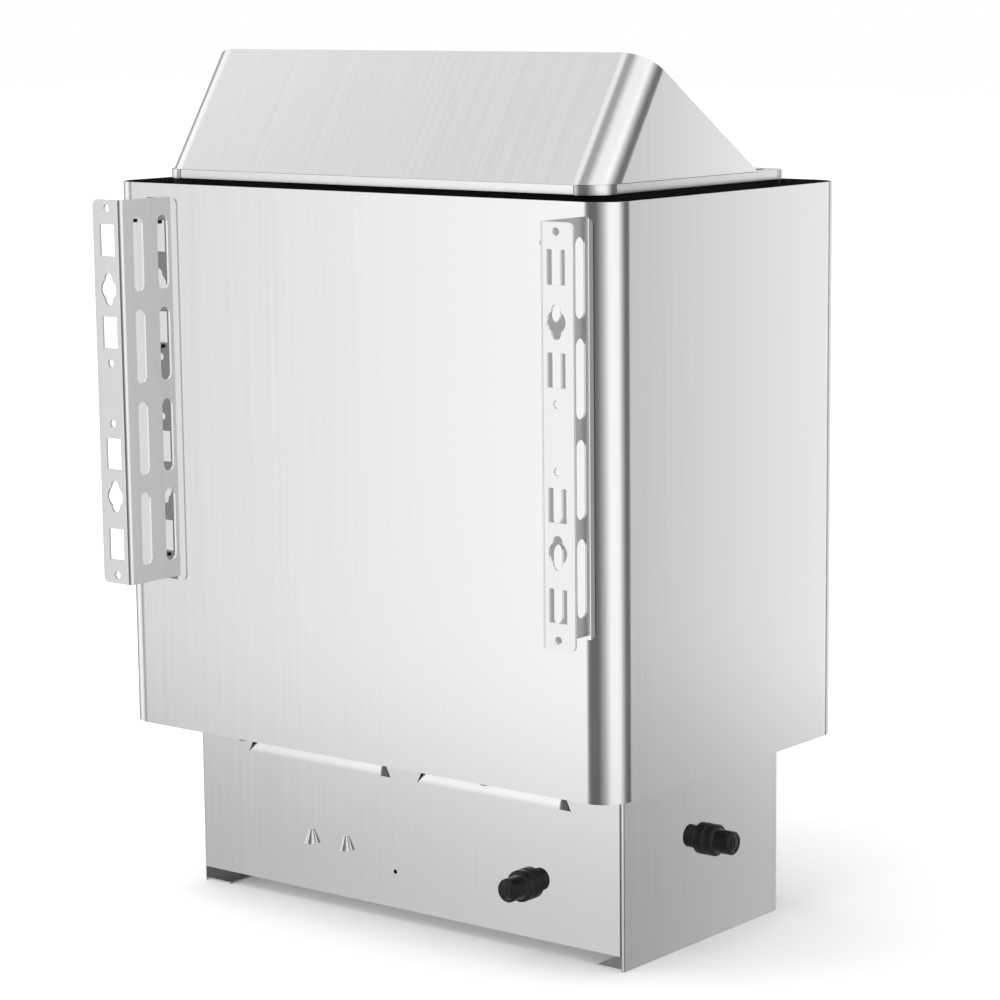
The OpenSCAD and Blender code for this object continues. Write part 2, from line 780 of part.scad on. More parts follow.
module terminal_screws() {
    l = block_h / 3;
    color("#c9a45c") block_cell_places() for (s = [-1, 1]) translate([s * block_w / 4, 0, block_h / 2])
        difference() {
            cylinder(r = clamp_r, h = l, $fn = small_fn);
            translate([0, 0, l]) cube([2 * clamp_r, sheet / 2, l / 2], center = true);
        }
}

module earth_stud() {
    color("#c9a45c") translate([base_w / 3, base_rear - 3 * casing_flange, electric_z]) {
        cylinder(r = fix_r, h = block_h * 0.7, $fn = small_fn);
        cylinder(r = 2 * fix_r, h = fix_r, $fn = hex);
        translate([0, 0, fix_r + 2 * sheet]) cylinder(r = 2 * fix_r, h = fix_r, $fn = hex);
    }
}

// Bar that joins the three elements' studs on the side away from the terminal block
module star_link() {
    w = 3 * element_r;
    color("#c98f4f") translate([leg_x, 0, link_z]) difference() {
        linear_extrude(plate) rotate([0, 0, 90]) slot_plan(2 * element_pitch + w, w);
        for (y = element_y) translate([0, y, -over])
            cylinder(r = stud_r + run_gap, h = plate + 2 * over, $fn = small_fn);
    }
}

// Quarter of a ring in the XY plane, from its +X side round to its +Y side
module flat_bend(bend, r) {
    rotate_extrude(angle = 90, $fn = round_fn) translate([bend, 0]) circle(r = r, $fn = small_fn);
}

// Quarter of a ring in the YZ plane, from its lowest point up to its +Y side
module quarter_bend(bend, r) {
    rotate([90, 0, 90]) rotate([0, 0, -90]) flat_bend(bend, r);
}

// Stiff lead from a stud down to a cell of the block, with a jog sideways where they do not line up
module power_lead(from_y, to_y) {
    top = terminal_z - stud_l;
    low = electric_z + block_h / 2;
    jog_z = (top + electric_z + block_h) / 2;
    run = abs(to_y - from_y) - 2 * lead_bend;
    translate([-leg_x, from_y, 0]) mirror([0, to_y < from_y ? 1 : 0, 0]) {
        if (run > 0) {
            translate([0, 0, jog_z + lead_bend])
                cylinder(r = lead_r, h = top - jog_z - lead_bend, $fn = small_fn);
            translate([0, lead_bend, jog_z + lead_bend]) mirror([0, 1, 0]) quarter_bend(lead_bend, lead_r);
            translate([0, lead_bend, jog_z]) rod_y(lead_r, run);
            translate([0, lead_bend + run, jog_z - lead_bend]) mirror([0, 0, 1])
                quarter_bend(lead_bend, lead_r);
            translate([0, run + 2 * lead_bend, low])
                cylinder(r = lead_r, h = jog_z - lead_bend - low, $fn = small_fn);
        } else {
            translate([0, 0, low]) cylinder(r = lead_r, h = top - low, $fn = small_fn);
        }
    }
}

module power_leads() {
    color("#a33b2e") for (i = [-1 : 1]) power_lead(i * element_pitch, i * block_pitch);
}

// The controls behind and on the front cover

module control_body() {
    bush_l = sheet * 3;
    difference() {
        union() {
            translate([0, cover_back, 0]) rod_y(control_r, control_l);
            translate([-control_r, cover_back, -control_r * 0.7])
                cube([2 * control_r, 2 * sheet, control_r * 1.4]);
            translate([0, cover_back + control_l, 0]) rod_y(control_r * 0.5, bush_l);
            translate([0, cover_front, 0]) rod_y(shaft_r * 1.8, sheet);
        }
        translate([0, cover_front - over, 0]) rod_y(shaft_r + run_gap, control_l * 0.7 + over);
    }
}

module control_shaft() {
    back = cover_front + control_l * 0.7 - seat;
    front = knob_front + knob_h * 0.3;
    translate([0, front, 0]) rod_y(shaft_r, back - front);
}

module control_knob(ribs) {
    grip_r = knob_r * 0.82;
    bore_l = knob_h * 0.7;
    color("#232426") difference() {
        union() {
            translate([0, knob_back - skirt_h, 0]) rod_y(knob_r, skirt_h);
            translate([0, knob_front, 0]) rod_y(grip_r, knob_h - skirt_h);
            translate([-shaft_r / 2, knob_front - sheet, 0])
                cube([shaft_r, knob_h - skirt_h, grip_r + shaft_r / 2]);
        }
        for (i = [1 : ribs - 1]) rotate([0, i * 360 / ribs, 0])
            translate([0, knob_front - over, grip_r + shaft_r * 0.4])
                rod_y(shaft_r * 0.8, knob_h - 1.5 * skirt_h + over);
        translate([0, knob_back - bore_l, 0]) rod_y(shaft_r + run_gap / 2, bore_l + over);
    }
}

module timer_body() {
    color("#d8d2c0") translate([-knob_x, 0, knob_z]) control_body();
}

module timer_shaft() {
    color("#b7b9bb") translate([-knob_x, 0, knob_z]) control_shaft();
}

module timer_knob() {
    translate([-knob_x, 0, knob_z]) control_knob(12);
}

module thermostat_body() {
    color("#c9c3b2") translate([knob_x, 0, knob_z]) control_body();
}

module thermostat_shaft() {
    color("#b7b9bb") translate([knob_x, 0, knob_z]) control_shaft();
}

module thermostat_knob() {
    translate([knob_x, 0, knob_z]) control_knob(12);
}

// Capillary from the thermostat round to the side and up to the bulb on the jacket's inner wall
module sensor_tube() {
    start = cover_back + control_l + 3 * sheet;
    run_y = sensor_y - tube_bend - start;
    run_x = sensor_x - knob_x - 2 * tube_bend;
    color("#b87333") translate([knob_x, 0, knob_z]) {
        translate([0, start, 0]) rod_y(tube_r, run_y);
        translate([tube_bend, start + run_y, 0]) rotate([0, 0, 90]) flat_bend(tube_bend, tube_r);
        translate([tube_bend, sensor_y, 0]) rotate([0, 90, 0]) cylinder(r = tube_r, h = run_x, $fn = small_fn);
        translate([tube_bend + run_x, sensor_y, tube_bend]) rotate([0, 0, -90]) quarter_bend(tube_bend, tube_r);
        translate([2 * tube_bend + run_x, sensor_y, tube_bend])
            cylinder(r = tube_r, h = bulb_z - knob_z - tube_bend, $fn = small_fn);
    }
}

module sensor_bulb() {
    color("#c47f46") translate([sensor_x, sensor_y, bulb_z]) cylinder(r = bulb_r, h = bulb_l, $fn = small_fn);
}

module limiter_body() {
    w = 8 * button_r;
    depth = control_l * 0.8;
    color("#cbc6b8") difference() {
        translate([-w / 2, cover_back, button_z - w / 2]) cube([w, depth, w]);
        translate([0, cover_back - over, button_z]) rod_y(button_r + run_gap, depth * 0.6 + over);
    }
}

module reset_button() {
    cap = button_travel + sheet;
    depth = control_l * 0.8 * 0.6 - button_travel - seat;
    color("#b3261e") translate([0, cover_front - cap, button_z]) rod_y(button_r, cap + sheet + depth);
}

// A cable gland along +Z, with its panel's outer face at zero

module gland_body() {
    difference() {
        union() {
            translate([0, 0, -shank_l]) cylinder(r = neck_r, h = shank_l + neck_l, $fn = round_fn);
            translate([0, 0, neck_l]) cylinder(r = collar_r, h = collar_l, $fn = round_fn);
            translate([0, 0, neck_l + collar_l])
                cylinder(r = spigot_r, h = groove_l + collar_l, $fn = round_fn);
        }
        translate([0, 0, -shank_l - over])
            cylinder(r = plug_r, h = shank_l + neck_l + 2 * collar_l + groove_l + 2 * over, $fn = round_fn);
    }
}

module gland_seal() {
    translate([0, 0, -sheet - seal_l]) difference() {
        cylinder(r = collar_r * 0.95, h = seal_l, $fn = round_fn);
        translate([0, 0, -over]) cylinder(r = neck_r + run_gap, h = seal_l + 2 * over, $fn = round_fn);
    }
}

module gland_locknut() {
    translate([0, 0, -sheet - seal_l - locknut_l]) difference() {
        cylinder(r = collar_r * 1.12, h = locknut_l, $fn = hex);
        translate([0, 0, -over]) cylinder(r = neck_r + run_gap, h = locknut_l + 2 * over, $fn = round_fn);
    }
}

module gland_nut() {
    start = neck_l + collar_l + groove_l;
    difference() {
        union() {
            translate([0, 0, start]) cylinder(r = collar_r, h = collar_l - edge, $fn = round_fn);
            translate([0, 0, start + collar_l - edge])
                cylinder(r1 = collar_r, r2 = collar_r - edge, h = edge, $fn = round_fn);
            translate([0, 0, start + collar_l]) cylinder(r = outlet_r, h = outlet_l - edge, $fn = round_fn);
            translate([0, 0, start + collar_l + outlet_l - edge])
                cylinder(r1 = outlet_r, r2 = outlet_r - edge, h = edge, $fn = round_fn);
        }
        translate([0, 0, start - over]) cylinder(r = nut_in_r, h = over + collar_l + seat, $fn = round_fn);
        translate([0, 0, start]) cylinder(r = plug_r + run_gap, h = collar_l + outlet_l + over, $fn = round_fn);
    }
}

module gland_plug() {
    top = neck_l + 2 * collar_l + groove_l + outlet_l;
    l = outlet_l + collar_l;
    translate([0, 0, top - l - seat]) difference() {
        cylinder(r = plug_r - run_gap, h = l, $fn = round_fn);
        translate([0, 0, l]) cube([2 * plug_r, plug_slot, 2 * plug_slot], center = true);
    }
}

module at_rear_gland() {
    translate([rear_gland_x, base_rear, rear_gland_z]) rotate([-90, 0, 0]) children();
}

module at_side_gland() {
    translate([-base_w / 2, side_gland_y, side_gland_z]) rotate([0, -90, 0]) children();
}

module rear_gland_body() { color("#1b1c1d") at_rear_gland() gland_body(); }
module rear_gland_seal() { color("#101011") at_rear_gland() gland_seal(); }
module rear_gland_locknut() { color("#242526") at_rear_gland() gland_locknut(); }
module rear_gland_nut() { color("#1f2021") at_rear_gland() gland_nut(); }
module rear_gland_plug() { color("#2a2b2c") at_rear_gland() gland_plug(); }
module side_gland_body() { color("#1b1c1d") at_side_gland() gland_body(); }
module side_gland_seal() { color("#101011") at_side_gland() gland_seal(); }
module side_gland_locknut() { color("#242526") at_side_gland() gland_locknut(); }
module side_gland_nut() { color("#1f2021") at_side_gland() gland_nut(); }
module side_gland_plug() { color("#2a2b2c") at_side_gland() gland_plug(); }

// The perforated wall rails

module keyhole_plan() {
    circle(r = key_r, $fn = round_fn);
    for (s = [-1, 1]) translate([0, s * key_r]) circle(r = lobe_r, $fn = small_fn);
}

// Holes shared by the wall flanges and the foot plates, round the pattern's middle
module hole_pattern_plan(outer_r) {
    for (s = [-1, 1]) {
        translate([0, s * fix_outer]) circle(r = outer_r, $fn = small_fn);
        translate([0, s * fix_inner]) circle(r = fix_r, $fn = small_fn);
        translate([0, s * window_outer]) square([window_w, window_h], center = true);
        translate([0, s * window_inner]) square([window_w, window_h], center = true);
        translate([0, s * key_at]) keyhole_plan();
    }
}

// Angle of web and wall flange in plan, its web's outer face at X zero, bent round two radii
module angle_plan() {
    bend = 2 * rail_t;
    difference() {
        union() {
            translate([0, foot_y]) square([rail_t, wall_y - foot_y - bend]);
            translate([bend, wall_y - rail_t]) square([flange_w - bend, rail_t]);
            intersection() {
                translate([bend, wall_y - bend]) circle(r = bend, $fn = round_fn);
                translate([0, wall_y - bend]) square([bend, bend]);
            }
        }
        translate([bend, wall_y - bend]) circle(r = bend - rail_t, $fn = round_fn);
    }
}

// What is cut off a square corner to round it, the corner at the origin and the sheet on -X and -Y
module corner_waste_plan() {
    difference() {
        translate([-rail_r, -rail_r]) square([rail_r + over, rail_r + over]);
        translate([-rail_r, -rail_r]) circle(r = rail_r, $fn = small_fn);
    }
}

module web_slots_plan() {
    for (s = [-1, 1], z = [slot_inner, slot_outer], y = [slot_near_y, slot_far_y])
        translate([y, s * z]) rotate([0, 0, 90]) slot_plan(slot_l, slot_w);
}

// A rail with its wall flange reaching to +X
module wall_rail() {
    difference() {
        translate([0, 0, rail_mid - rail_h / 2]) linear_extrude(rail_h) angle_plan();
        translate([0, wall_y + over, rail_mid]) rotate([90, 0, 0]) linear_extrude(rail_t + 2 * over) {
            translate([flange_w / 2, 0]) hole_pattern_plan(fix_r);
            for (m = [0, 1]) mirror([0, m, 0]) translate([flange_w, rail_h / 2]) corner_waste_plan();
        }
        translate([-over, 0, rail_mid]) rotate([90, 0, 90]) linear_extrude(rail_t + 2 * over)
            web_slots_plan();
    }
}

// Foot plate as a flat outline, its web's face at X zero and the rail's middle height at zero
module foot_plan() {
    difference() {
        translate([foot_w / 2 - foot_lip, foot_mid - rail_mid]) rounded_plan(foot_w, foot_h, rail_r);
        translate([flange_w / 2, 0]) hole_pattern_plan(foot_screw_r + run_gap);
        for (rise = lance_rises) translate([flange_w / 2, rise - lance_drop - lance_r])
            square([lance_r, lance_drop + lance_r + over]);
        for (at = plate_grubs) translate(at) circle(r = grub_r + run_gap, $fn = small_fn);
    }
}

// A foot plate, most of it on the +X side of its rail's web
module foot_plate() {
    translate([0, foot_y, rail_mid]) rotate([90, 0, 0]) linear_extrude(rail_t) foot_plan();
}

module left_wall_rail() { color("#dfe0e1") translate([left_web_x, 0, 0]) wall_rail(); }
module right_wall_rail() { color("#dfe0e1") translate([right_web_x, 0, 0]) mirror([1, 0, 0]) wall_rail(); }
module left_foot_plate() { color("#cfd1d3") translate([left_web_x, 0, 0]) foot_plate(); }
module right_foot_plate() { color("#cfd1d3") translate([right_web_x, 0, 0]) foot_plate(); }

module foot_screw_places() {
    for (web = [left_web_x, right_web_x], s = [-1, 1])
        translate([web + flange_w / 2, casing_back - 2 * sheet, rail_mid + s * fix_outer]) children();
}

module foot_plate_screws() {
    color("#6d6f72") foot_screw_places() translate([0, 2 * sheet + rail_t, 0]) rotate([-90, 0, 0])
        pan_screw(foot_screw_r, screw_head_r * 0.8, screw_head_h, 2 * sheet + rail_t);
}

module back_screw_places(places) {
    for (web = [left_web_x, right_web_x], at = places)
        translate([web + at[0], casing_back - 2 * sheet, rail_mid + at[1]]) children();
}

module grub_screw(l) {
    difference() {
        rod_y(grub_r, l);
        translate([-grub_r - over, l - grub_r / 2, -grub_r / 4])
            cube([2 * (grub_r + over), grub_r, grub_r / 2]);
    }
}

// Headless screws in the casing's back, seen through the rails' slots
module back_screws() {
    color("#3a3b3d") {
        back_screw_places(open_grubs) grub_screw(3 * sheet);
        back_screw_places(plate_grubs) grub_screw(3 * sheet + rail_t);
    }
}

outer_casing();
carrier_plate();
base_shell();
base_front_cover();
wiring_cover();
stone_jacket();
element_tray();
heat_shield();
spacer_brackets();
grate_rails();
stone_grate();
rim_rails();
rim_corners();
hood();
heating_element(element_y[0]);  // front_element
heating_element(element_y[1]);  // middle_element
heating_element(element_y[2]);  // rear_element
element_bushes();
element_combs();
element_terminals();
star_link();
terminal_block();
terminal_screws();
earth_stud();
power_leads();
timer_body();
timer_shaft();
timer_knob();
thermostat_body();
thermostat_shaft();
thermostat_knob();
sensor_tube();
sensor_bulb();
limiter_body();
reset_button();
rear_gland_body();
rear_gland_seal();
rear_gland_locknut();
rear_gland_nut();
rear_gland_plug();
side_gland_body();
side_gland_seal();
side_gland_locknut();
side_gland_nut();
side_gland_plug();
left_wall_rail();
right_wall_rail();
left_foot_plate();
right_foot_plate();
foot_plate_screws();
back_screws();
cover_screws();
casing_screws();
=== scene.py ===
"""Looks of a wall-hung electric sauna heater, dressed over its packed construction.

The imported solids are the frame. This script gives every one of them its finish, stands new pieces
in place of the folded sheets, the knobs, the glands and the larger screws, marks both dials, and
sets the heater in a pale studio, seen from behind.
All lengths are in metres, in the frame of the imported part: +Z up, the wall on the +Y side.
"""

import json
import logging
import math
from dataclasses import dataclass, field
from enum import Enum
from functools import cached_property
from typing import TypeAlias

import bpy
from mathutils import Matrix, Vector


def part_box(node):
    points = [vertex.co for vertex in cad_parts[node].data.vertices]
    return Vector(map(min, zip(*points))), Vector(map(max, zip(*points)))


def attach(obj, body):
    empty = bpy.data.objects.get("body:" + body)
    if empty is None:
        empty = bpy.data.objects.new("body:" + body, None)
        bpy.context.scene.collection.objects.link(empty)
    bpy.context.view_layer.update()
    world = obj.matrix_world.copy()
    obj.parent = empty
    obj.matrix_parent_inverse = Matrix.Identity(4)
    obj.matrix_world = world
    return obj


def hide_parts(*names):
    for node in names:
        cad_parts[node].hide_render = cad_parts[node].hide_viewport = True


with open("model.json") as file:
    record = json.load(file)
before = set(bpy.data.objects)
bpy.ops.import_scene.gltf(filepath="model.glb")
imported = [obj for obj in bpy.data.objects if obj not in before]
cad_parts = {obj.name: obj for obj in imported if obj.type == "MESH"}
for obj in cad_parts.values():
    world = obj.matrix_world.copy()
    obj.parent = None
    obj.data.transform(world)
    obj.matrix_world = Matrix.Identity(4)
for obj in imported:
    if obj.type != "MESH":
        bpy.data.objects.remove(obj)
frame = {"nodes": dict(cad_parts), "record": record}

logging.basicConfig(level=logging.INFO, format="%(message)s")
log = logging.getLogger("sauna_heater")

Pair: TypeAlias = tuple[float, float]
Triple: TypeAlias = tuple[float, float, float]
Color: TypeAlias = tuple[float, ...]
Term: TypeAlias = "Value | float"
Piece: TypeAlias = bpy.types.Object

MM = 0.001
# Points of a mesh that are closer than this are one point
MERGE = 0.001 * MM
# A turned piece keeps an edge hard where it bends more than this
HARD_BEND = math.radians(35.0)
QUARTER = math.radians(90.0)
# The middle of a noise that runs from 0 to 1
MIDDLE = 0.5
# Where the wall rails' flanges begin, behind their webs
FLANGE_FROM_Y = 170.5 * MM
# Further out than anything of the heater
BEYOND_ALL = 1.0


class Value:
    """A socket of a shader graph that can be used in sums and products."""

    def __init__(self, graph: "Graph", socket: bpy.types.NodeSocket) -> None:
        """Wraps a socket.

        Args:
            graph: The graph that the socket belongs to.
            socket: The output socket that carries the value.
        """
        self.graph = graph
        self.socket = socket

    def _math(self, operation: str, *others: Term) -> "Value":
        """Result of a Math node that takes this value first."""
        return self.graph.math(operation, self, *others)

    def __add__(self, other: Term) -> "Value":
        """Sum of two values."""
        return self._math("ADD", other)

    __radd__ = __add__

    def __mul__(self, other: Term) -> "Value":
        """Product of two values."""
        return self._math("MULTIPLY", other)

    def __sub__(self, other: Term) -> "Value":
        """This value less another."""
        return self._math("SUBTRACT", other)

    def __rsub__(self, other: float) -> "Value":
        """A number less this value."""
        return self.graph.math("SUBTRACT", other, self)

    def __truediv__(self, other: Term) -> "Value":
        """This value over another."""
        return self._math("DIVIDE", other)

    def __pow__(self, power: float) -> "Value":
        """This value raised to a power."""
        return self._math("POWER", power)

    def magnitude(self) -> "Value":
        """This value without its sign."""
        return self._math("ABSOLUTE")

    def swing(self, reach: float) -> "Value":
        """How far this noise is from its middle, times a reach."""
        return (self - MIDDLE) * reach

    def between(self, low: float, high: float) -> "Value":
        """Smooth step from 0, where this value is low, to 1, where it is high."""
        inputs = {"Value": self, "From Min": low, "From Max": high}
        return self.graph.node("ShaderNodeMapRange", {"interpolation_type": "SMOOTHSTEP"}, inputs)


class Graph:
    """The nodes of one material or world."""

    def __init__(self, owner: bpy.types.Material | bpy.types.World) -> None:
        """Empties the owner's node tree.

        Args:
            owner: The material or world whose nodes are built.
        """
        owner.use_nodes = True
        self.owner = owner
        self.tree = owner.node_tree
        self.tree.nodes.clear()

    def node(
        self,
        kind: str,
        settings: dict[str, object] | None = None,
        inputs: dict[str | int, object] | None = None,
        outlet: str | int = 0,
    ) -> Value:
        """Adds one node.

        Args:
            kind: The node's type.
            settings: Properties of the node, set before its sockets.
            inputs: Values or links of its sockets, by name or number.
            outlet: The output that is returned.

        Returns:
            The chosen output.
        """
        made = self.tree.nodes.new(kind)
        for name, value in (settings or {}).items():
            setattr(made, name, value)
        for name, value in (inputs or {}).items():
            self.feed(made.inputs[name], value)
        return Value(self, made.outputs[outlet])

    def feed(self, socket: bpy.types.NodeSocket, value: object) -> None:
        """Links a value to a socket, or sets the socket to a constant.

        Args:
            socket: The input socket.
            value: The value or the constant.
        """
        if isinstance(value, Value):
            self.tree.links.new(value.socket, socket)
        else:
            socket.default_value = value

    def math(self, operation: str, *values: Term) -> Value:
        """Result of a Math node that takes these values in order."""
        return self.node("ShaderNodeMath", {"operation": operation}, dict(enumerate(values)))

    @cached_property
    def place(self) -> Value:
        """Object coordinates of the shaded point."""
        return self.node("ShaderNodeTexCoord", outlet="Object")

    def axis(self, name: str, where: Value | None = None) -> Value:
        """One coordinate, named X, Y or Z, of a place or else of the shaded point."""
        return self.node("ShaderNodeSeparateXYZ", None, {"Vector": where or self.place}, name)

    def ray(self, kind: str) -> Value:
        """Whether the ray is of one kind, such as Camera or Glossy."""
        return self.node("ShaderNodeLightPath", outlet=f"Is {kind} Ray")

    def stretched(self, scale: Triple) -> Value:
        """Object coordinates, each multiplied by its factor."""
        inputs = {"Vector": self.place, "Scale": scale}
        return self.node("ShaderNodeMapping", {"vector_type": "POINT"}, inputs)

    def noise(self, where: Value, scale: float, detail: float = 2.0, rough: float = 0.5) -> Value:
        """Smooth noise.

        Args:
            where: The coordinates that the noise is read at.
            scale: Its scale.
            detail: The number of finer layers.
            rough: How strong the finer layers are.

        Returns:
            The noise, about 0 to 1.
        """
        inputs = {"Vector": where, "Scale": scale, "Detail": detail, "Roughness": rough}
        return self.node("ShaderNodeTexNoise", None, inputs)

    def ramp(self, share: Value, stops: tuple[Pair, ...]) -> Value:
        """Reads a level from a line through several stops.

        Args:
            share: The place on the line, 0 to 1.
            stops: Each stop's place and level.

        Returns:
            The level, which may be above 1.
        """
        made = self.tree.nodes.new("ShaderNodeFloatCurve")
        points = made.mapping.curves[0].points
        made.mapping.use_clip = False
        while len(points) < len(stops):
            points.new(MIDDLE, MIDDLE)
        for point, stop in zip(points, stops):
            point.location = stop
            point.handle_type = "VECTOR"
        made.mapping.update()
        self.feed(made.inputs["Value"], share)
        return Value(self, made.outputs[0])

    def blend(self, share: Term, first: Term, second: Term) -> Value:
        """Mix of two numbers, in which the second one has a share."""
        inputs = {0: share, 2: first, 3: second}
        return self.node("ShaderNodeMix", {"data_type": "FLOAT"}, inputs)

    def tint(self, share: Term, first: Value | Color, second: Value | Color) -> Value:
        """Mixes two colours.

        Args:
            share: How much of the second colour shows.
            first: The first colour.
            second: The second colour.

        Returns:
            The mixed colour.
        """
        made = self.tree.nodes.new("ShaderNodeMix")
        made.data_type = "RGBA"
        sockets = {s.identifier: s for s in made.inputs}
        for name, value in (("Factor_Float", share), ("A_Color", first), ("B_Color", second)):
            self.feed(sockets[name], value)
        return Value(self, next(s for s in made.outputs if s.identifier == "Result_Color"))

    def bump(self, height: Value, strength: float, distance: float) -> Value:
        """Normal bent by a height, of which 1 stands for a real distance."""
        inputs = {"Height": height, "Strength": strength, "Distance": distance}
        return self.node("ShaderNodeBump", None, inputs)

    def glow(self, level: float, strength: Term) -> Value:
        """A shader that gives off grey light of its own."""
        return self.node("ShaderNodeEmission", None, {"Color": grey(level), "Strength": strength})

    def either(self, share: Value, first: Value, second: Value) -> Value:
        """Mix of two shaders, in which the second one has a share."""
        return self.node("ShaderNodeMixShader", None, {0: share, 1: first, 2: second})

    def surface(self, inputs: dict[str, object]) -> None:
        """Ends the graph in one Principled shader with these sockets."""
        self.end(self.node("ShaderNodeBsdfPrincipled", None, inputs))

    def end(self, shader: Value) -> None:
        """Links a shader to the output node.

        Args:
            shader: The shader that the owner shows.
        """
        owner = "World" if isinstance(self.owner, bpy.types.World) else "Material"
        out = self.tree.nodes.new(f"ShaderNodeOutput{owner}")
        self.feed(out.inputs["Surface"], shader)


def opaque(tone: Triple, gain: float = 1.0, lift: float = 0.0) -> Color:
    """Opaque colour whose channels are a tone's, times a gain and raised by a lift."""
    return (*(min(1.0, channel * gain + lift) for channel in tone), 1.0)


def grey(level: float) -> Color:
    """Opaque grey of one linear level."""
    return opaque((level, level, level))


class Grain(Enum):
    """The way the brush went over a sheet: how fast the grain changes along X, Y and Z."""

    UPRIGHT = (1.0, 1.0, 0.016)
    ROUND = (1.0, 1.0, 1.0)


@dataclass(frozen=True)
class Finish:
    """What one material shows."""

    name: str

    def make(self) -> bpy.types.Material:
        """Builds the material.

        Returns:
            The finished material.
        """
        graph = Graph(bpy.data.materials.new(self.name))
        self.paint(graph)
        return graph.owner

    def paint(self, graph: Graph) -> None:
        """Builds the material's nodes in its graph."""
        raise NotImplementedError(self.name)


@dataclass(frozen=True)
class BrushedSteel(Finish):
    """Stainless sheet with a fine brushed grain."""

    tone: float = 0.72
    # How far the lightest and darkest lines lie from the tone, as a share of it
    spread: float = 0.2
    roughness: float = 0.2
    rough_swing: float = 0.5
    grain: Grain = Grain.UPRIGHT
    # How much the lines count, fine and broad alike, and how much the clouds
    streak: float = 0.15
    cloud: float = 0.04
    # How dense the fine lines are, how strong their finest layer, and how many make a broad one
    lines_per_metre: float = 1400.0
    finest: float = 0.6
    band: float = 5.0
    clouds_per_metre: float = 9.0
    relief: float = 0.01 * MM
    relief_strength: float = 0.25
    # Painted light and shade: the sheet keeps its tone between two places along one axis; elsewhere
    # its tone is multiplied by a share, above 1 for painted light and below 1 for painted shade
    unpainted_within: Pair | None = None
    tone_axis: str = "X"
    painted_shading_share: float = 0.31
    other_blur: float = 0.4 * MM
    # Half the width of a leaning sheet's middle face; past it the grain is counted along Y
    wrap: float = 0.0
    wrap_blur: float = 6.0 * MM

    def paint(self, graph: Graph) -> None:
        """Builds the material's nodes.

        Args:
            graph: The material's graph.
        """
        along = self.round_the_bend(graph) if self.wrap else graph.stretched(self.grain.value)
        fine = graph.noise(along, self.lines_per_metre, rough=self.finest)
        broad = graph.noise(along, self.lines_per_metre / self.band)
        cloud = graph.noise(graph.place, self.clouds_per_metre)
        level = fine.swing(self.streak) + broad.swing(self.streak) + cloud.swing(self.cloud)
        share = (level + MIDDLE).between(0.0, 1.0)
        color = self.shades(graph, share)
        # Painted light and shade outside the span, from the share
        if self.unpainted_within:
            way = graph.axis(self.tone_axis)
            start, end = (way.between(at - self.other_blur, at + self.other_blur)
                          for at in self.unpainted_within)
            color = graph.tint(start - end, self.shades(graph, share, self.painted_shading_share), color)
        graph.surface({
            "Base Color": color,
            "Metallic": 1.0,
            "Roughness": level * self.rough_swing + self.roughness,
            "Normal": graph.bump(fine, self.relief_strength, self.relief),
        })

    def round_the_bend(self, graph: Graph) -> Value:
        """Coordinates that run on from a leaning sheet's middle face round its bends.

        Args:
            graph: The material's graph.

        Returns:
            The coordinates, stretched along the grain.
        """
        across = graph.axis("X")
        bent = across.magnitude().between(self.wrap - self.wrap_blur, self.wrap + self.wrap_blur)
        along = graph.axis("Z") * self.grain.value[2]
        inputs = {"X": graph.blend(bent, across, graph.axis("Y")), "Z": along}
        return graph.node("ShaderNodeCombineXYZ", None, inputs)

    def shades(self, graph: Graph, light: Value, share: float = 1.0) -> Value:
        """Spreads the grain's light and dark lines round the tone.

        Args:
            graph: The material's graph.
            light: How light the grain is, from 0 to 1.
            share: What the tone is multiplied by.

        Returns:
            The colour.
        """
        tone = (self.tone * share,) * 3
        return graph.tint(light, opaque(tone, 1 - self.spread), opaque(tone, 1 + self.spread))


@dataclass(frozen=True)
class Patchy(Finish):
    """One tone with lighter or darker patches, over a fine relief."""

    tone: Triple
    roughness: float = 0.3
    gloss: float = 0.5
    coat: float = 0.0
    metallic: float = 1.0
    # Gain and lift of the patches' tone, their scale and detail, and the noise at their two rims
    patch_shade: Pair = (1.0, 0.0)
    patches: Pair = (22.0, 5.0)
    rims: Pair = (0.4, 0.75)
    # Scale and detail of the relief, its real height and its strength
    grit: Pair = (900.0, 2.0)
    relief: float = 0.02 * MM
    relief_strength: float = 0.2
    # How far the roughness swings, and whether it does so with the relief or with the patches
    rough_swing: float = 0.2
    rough_with_grit: bool = False

    def color(self, graph: Graph, patches: Value) -> Value:
        """Lays the patches over the tone.

        Args:
            graph: The material's graph.
            patches: The noise that the patches follow.

        Returns:
            The colour.
        """
        plain, patched = opaque(self.tone), opaque(self.tone, *self.patch_shade)
        return graph.tint(patches.between(*self.rims), plain, patched)

    def paint(self, graph: Graph) -> None:
        """Builds the material's nodes.

        Args:
            graph: The material's graph.
        """
        patches = graph.noise(graph.place, *self.patches)
        grit = graph.noise(graph.place, *self.grit)
        uneven = grit if self.rough_with_grit else patches
        graph.surface({
            "Base Color": self.color(graph, patches),
            "Metallic": self.metallic,
            "Roughness": self.roughness + uneven.swing(self.rough_swing),
            "Specular IOR Level": self.gloss,
            "Coat Weight": self.coat,
            "Normal": graph.bump(grit, self.relief_strength, self.relief),
        })


@dataclass(frozen=True)
class NearBlackSteel(Patchy):
    """Near-black steel with lighter patches."""

    tone: Triple = (0.006, 0.006, 0.0065)
    roughness: float = 0.6
    metallic: float = 0.85
    patch_shade: Pair = (2.2, 0.0)
    rims: Pair = (0.35, 0.75)


